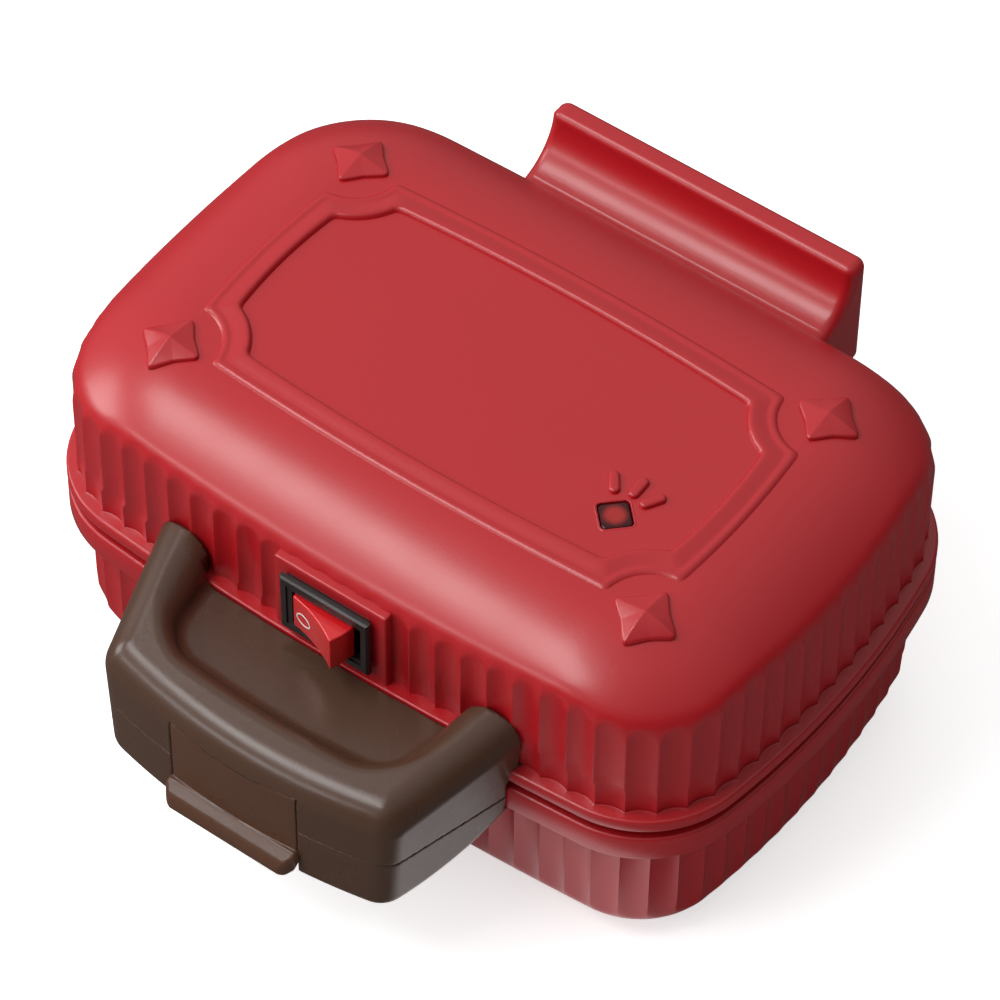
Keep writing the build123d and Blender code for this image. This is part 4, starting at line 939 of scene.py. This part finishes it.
def light_core(material):
    """Lighter red in the middle of the lens, from the lens's own place."""
    nodes, links = material.node_tree.nodes, material.node_tree.links
    shader = nodes["Principled BSDF"]
    coord = nodes.new("ShaderNodeTexCoord")
    span = nodes.new("ShaderNodeVectorMath")
    span.operation = "DISTANCE"
    span.inputs[1].default_value = tuple(to_row((LAMP_X, LAMP_Y, LID_TOP)))
    links.new(coord.outputs["Object"], span.inputs[0])
    fall = nodes.new("ShaderNodeMapRange")
    fall.interpolation_type = "SMOOTHSTEP"
    fall.inputs["From Min"].default_value = 1.2 * MM
    fall.inputs["From Max"].default_value = 3.0 * MM
    links.new(span.outputs["Value"], fall.inputs["Value"])
    mix = nodes.new("ShaderNodeMix")
    mix.data_type = "RGBA"
    mix.inputs["A"].default_value = (0.34, 0.022, 0.020, 1)
    mix.inputs["B"].default_value = (0.040, 0.002, 0.003, 1)
    links.new(fall.outputs["Result"], mix.inputs["Factor"])
    links.new(mix.outputs["Result"], shader.inputs["Base Color"])


def lens_pieces():
    rim = [rounded_square(half, corner, LID_TOP + z) for half, corner, z in
           ((3.75, 1.3, -0.10), (3.62, 1.25, 0.04), (3.50, 1.15, 0.09), (3.38, 1.05, 0.07), (3.30, 1.0, -0.03),
            (3.28, 1.0, -0.9))]
    obj = ring_mesh("lamp_rim", rim, ENAMEL, cap_first=False, cap_last=False)
    finish_piece(obj, "lid", "red_enamel")
    glass = [rounded_square(half, corner, LID_TOP + z) for half, corner, z in
             ((3.05, 0.9, -2.6), (3.05, 0.9, -0.40), (2.95, 0.85, -0.20), (2.70, 0.8, -0.08), (2.3, 0.7, -0.02),
              (1.5, 0.45, 0.03), (0.5, 0.2, 0.04))]
    window = [rounded_square(3.24, 0.95, LID_TOP + z) for z in (-6.0, 1.0)]
    cut(lid, ring_mesh("cutter", window, ENAMEL))
    crease_by_angle(lid, 50)
    obj = ring_mesh("lamp_glass", glass, LENS)
    light_core(LENS)
    finish_piece(obj, "lid", "lens", "lamp_lens")


lens_pieces()

# Nodes that keep their own shape
FINISHES = {
    "upper_frame": BLACK, "lower_frame": BLACK, "upper_plate": NONSTICK, "lower_plate": NONSTICK,
    "upper_heater": SHEATH, "lower_heater": SHEATH, "upper_reflector": STEEL, "lower_reflector": STEEL,
    "switch_body": BEZEL, "neon_lamp": LENS_CORE, "latch_pin": STEEL, "hinge_rod": STEEL,
    "thermostat": STEEL, "thermal_fuse": BLACK, "cord_gland": BLACK,
}
for name, node in NODES.items():
    finish = FINISHES.get(name)
    if finish is None and name.startswith("foot_"):
        finish = RUBBER
    if finish is None and name.startswith("screw_"):
        finish = STEEL
    if finish is not None:
        for index in range(len(node.data.materials)):
            node.data.materials[index] = finish

bevel(NODES["switch_body"], 0.28, 3, 40)
for name in ("upper_plate", "lower_plate", "upper_frame", "lower_frame"):
    bevel(NODES[name], 0.4, 2, 40)


# Stage
def seen_directly(nodes, links, kinds):
    """1 for the named kinds of ray, 0 for others."""
    path = nodes.new("ShaderNodeLightPath")
    last = path.outputs[kinds[0]]
    for kind in kinds[1:]:
        most = nodes.new("ShaderNodeMath")
        most.operation = "MAXIMUM"
        links.new(last, most.inputs[0])
        links.new(path.outputs[kind], most.inputs[1])
        last = most.outputs["Value"]
    return last


def stage():
    """White floor with a painted reflection: glossy rays see it bright only near a spot by the base's right
    front, falling to nearly black away from it.
    """
    size = 6.0
    mesh = bpy.data.meshes.new("floor")
    corners = [(-size, -size, 0), (size, -size, 0), (size, size, 0), (-size, size, 0)]
    mesh.from_pydata(corners, [], [(0, 1, 2, 3)])
    floor = bpy.data.objects.new("floor", mesh)
    bpy.context.scene.collection.objects.link(floor)
    material, nodes, links, shader = new_material("floor_paper")
    shader.inputs["Roughness"].default_value = 0.9
    shader.inputs["Specular IOR Level"].default_value = 0.1
    glow = nodes.new("ShaderNodeEmission")
    direct = seen_directly(nodes, links, ("Is Camera Ray", "Is Glossy Ray", "Is Transmission Ray"))
    path = nodes.new("ShaderNodeLightPath")
    place = nodes.new("ShaderNodeTexCoord")
    span = nodes.new("ShaderNodeVectorMath")
    span.operation = "DISTANCE"
    span.inputs[1].default_value = PAINTED_REFLECTION_SPOT
    links.new(place.outputs["Object"], span.inputs[0])
    fall = nodes.new("ShaderNodeMapRange")
    fall.interpolation_type = "SMOOTHSTEP"
    fall.inputs["From Min"].default_value = PAINTED_REFLECTION_NEAR
    fall.inputs["From Max"].default_value = PAINTED_REFLECTION_FAR
    fall.inputs["To Min"].default_value = 1.0
    fall.inputs["To Max"].default_value = PAINTED_REFLECTION_REST
    links.new(span.outputs["Value"], fall.inputs["Value"])
    # Painted reflection: for glossy rays the floor's glow and its paper colour fall from full near the spot to
    # nearly black further off.
    level = nodes.new("ShaderNodeMix")
    level.inputs["A"].default_value = 1.0
    links.new(path.outputs["Is Glossy Ray"], level.inputs["Factor"])
    links.new(fall.outputs["Result"], level.inputs["B"])
    seen = nodes.new("ShaderNodeMath")
    seen.operation = "MULTIPLY"
    links.new(direct, seen.inputs[0])
    links.new(level.outputs["Result"], seen.inputs[1])
    strength = nodes.new("ShaderNodeMath")
    strength.operation = "MULTIPLY"
    strength.inputs[1].default_value = FLOOR_GLOW
    links.new(seen.outputs["Value"], strength.inputs[0])
    links.new(strength.outputs["Value"], glow.inputs["Strength"])
    paper = nodes.new("ShaderNodeMix")
    paper.data_type = "RGBA"
    paper.inputs["A"].default_value = (0, 0, 0, 1)
    paper.inputs["B"].default_value = (0.9, 0.9, 0.9, 1)
    links.new(level.outputs["Result"], paper.inputs["Factor"])
    links.new(paper.outputs["Result"], shader.inputs["Base Color"])
    add = nodes.new("ShaderNodeAddShader")
    links.new(shader.outputs["BSDF"], add.inputs[0])
    links.new(glow.outputs["Emission"], add.inputs[1])
    links.new(add.outputs["Shader"], nodes["Material Output"].inputs["Surface"])
    mesh.materials.append(material)


def lamp(name, way, distance, width, height, power, aim=(0, 0, 0.05)):
    data = bpy.data.lights.new(name, "AREA")
    data.shape = "RECTANGLE"
    data.size = width
    data.size_y = height
    data.energy = power
    obj = bpy.data.objects.new(name, data)
    bpy.context.scene.collection.objects.link(obj)
    place = Vector(aim) + Vector(way).normalized() * distance
    obj.location = place
    obj.rotation_euler = (Vector(aim) - place).to_track_quat("-Z", "Y").to_euler()


def world():
    """White where the camera looks past the object, and a soft studio gradient elsewhere."""
    scene = bpy.context.scene
    scene.view_settings.view_transform = "Standard"
    scene.world = bpy.data.worlds.new("studio")
    scene.world.use_nodes = True
    nodes, links = scene.world.node_tree.nodes, scene.world.node_tree.links
    back = nodes["Background"]
    back.inputs["Color"].default_value = (1, 1, 1, 1)
    coord = nodes.new("ShaderNodeTexCoord")
    facing = nodes.new("ShaderNodeVectorMath")
    facing.operation = "DOT_PRODUCT"
    facing.inputs[1].default_value = Vector(SKY_WAY).normalized()
    links.new(coord.outputs["Generated"], facing.inputs[0])
    sky = nodes.new("ShaderNodeMapRange")
    sky.interpolation_type = "SMOOTHSTEP"
    sky.inputs["From Min"].default_value = -0.1
    sky.inputs["From Max"].default_value = 1.0
    sky.inputs["To Min"].default_value = SKY_LOW
    sky.inputs["To Max"].default_value = SKY_HIGH
    links.new(facing.outputs["Value"], sky.inputs["Value"])
    level = nodes.new("ShaderNodeMix")
    level.inputs["B"].default_value = 1.0
    links.new(seen_directly(nodes, links, ("Is Camera Ray", "Is Transmission Ray")), level.inputs["Factor"])
    links.new(sky.outputs["Result"], level.inputs["A"])
    links.new(level.outputs["Result"], back.inputs["Strength"])


FLOOR_GLOW = 0.62
# Spot on the floor where glossy rays see a painted reflection for the base's right front, and how far it
# reaches.
PAINTED_REFLECTION_SPOT, PAINTED_REFLECTION_NEAR, PAINTED_REFLECTION_FAR, PAINTED_REFLECTION_REST = (0.052, -0.048, 0.0), 0.014, 0.034, 0.06
SKY_WAY, SKY_LOW, SKY_HIGH = (-0.40, 0.10, 0.90), 0.03, 0.75
stage()
world()
lamp("left_panel", (-0.85, -0.32, 0.40), 1.2, 0.5, 0.45, 4.6)
lamp("front_strip", (-0.40, -0.76, 0.50), 1.1, 0.6, 0.12, 1.7)
lamp("overhead_strip", (-0.34, -0.36, 0.87), 0.8, 0.6, 0.2, 3.2)
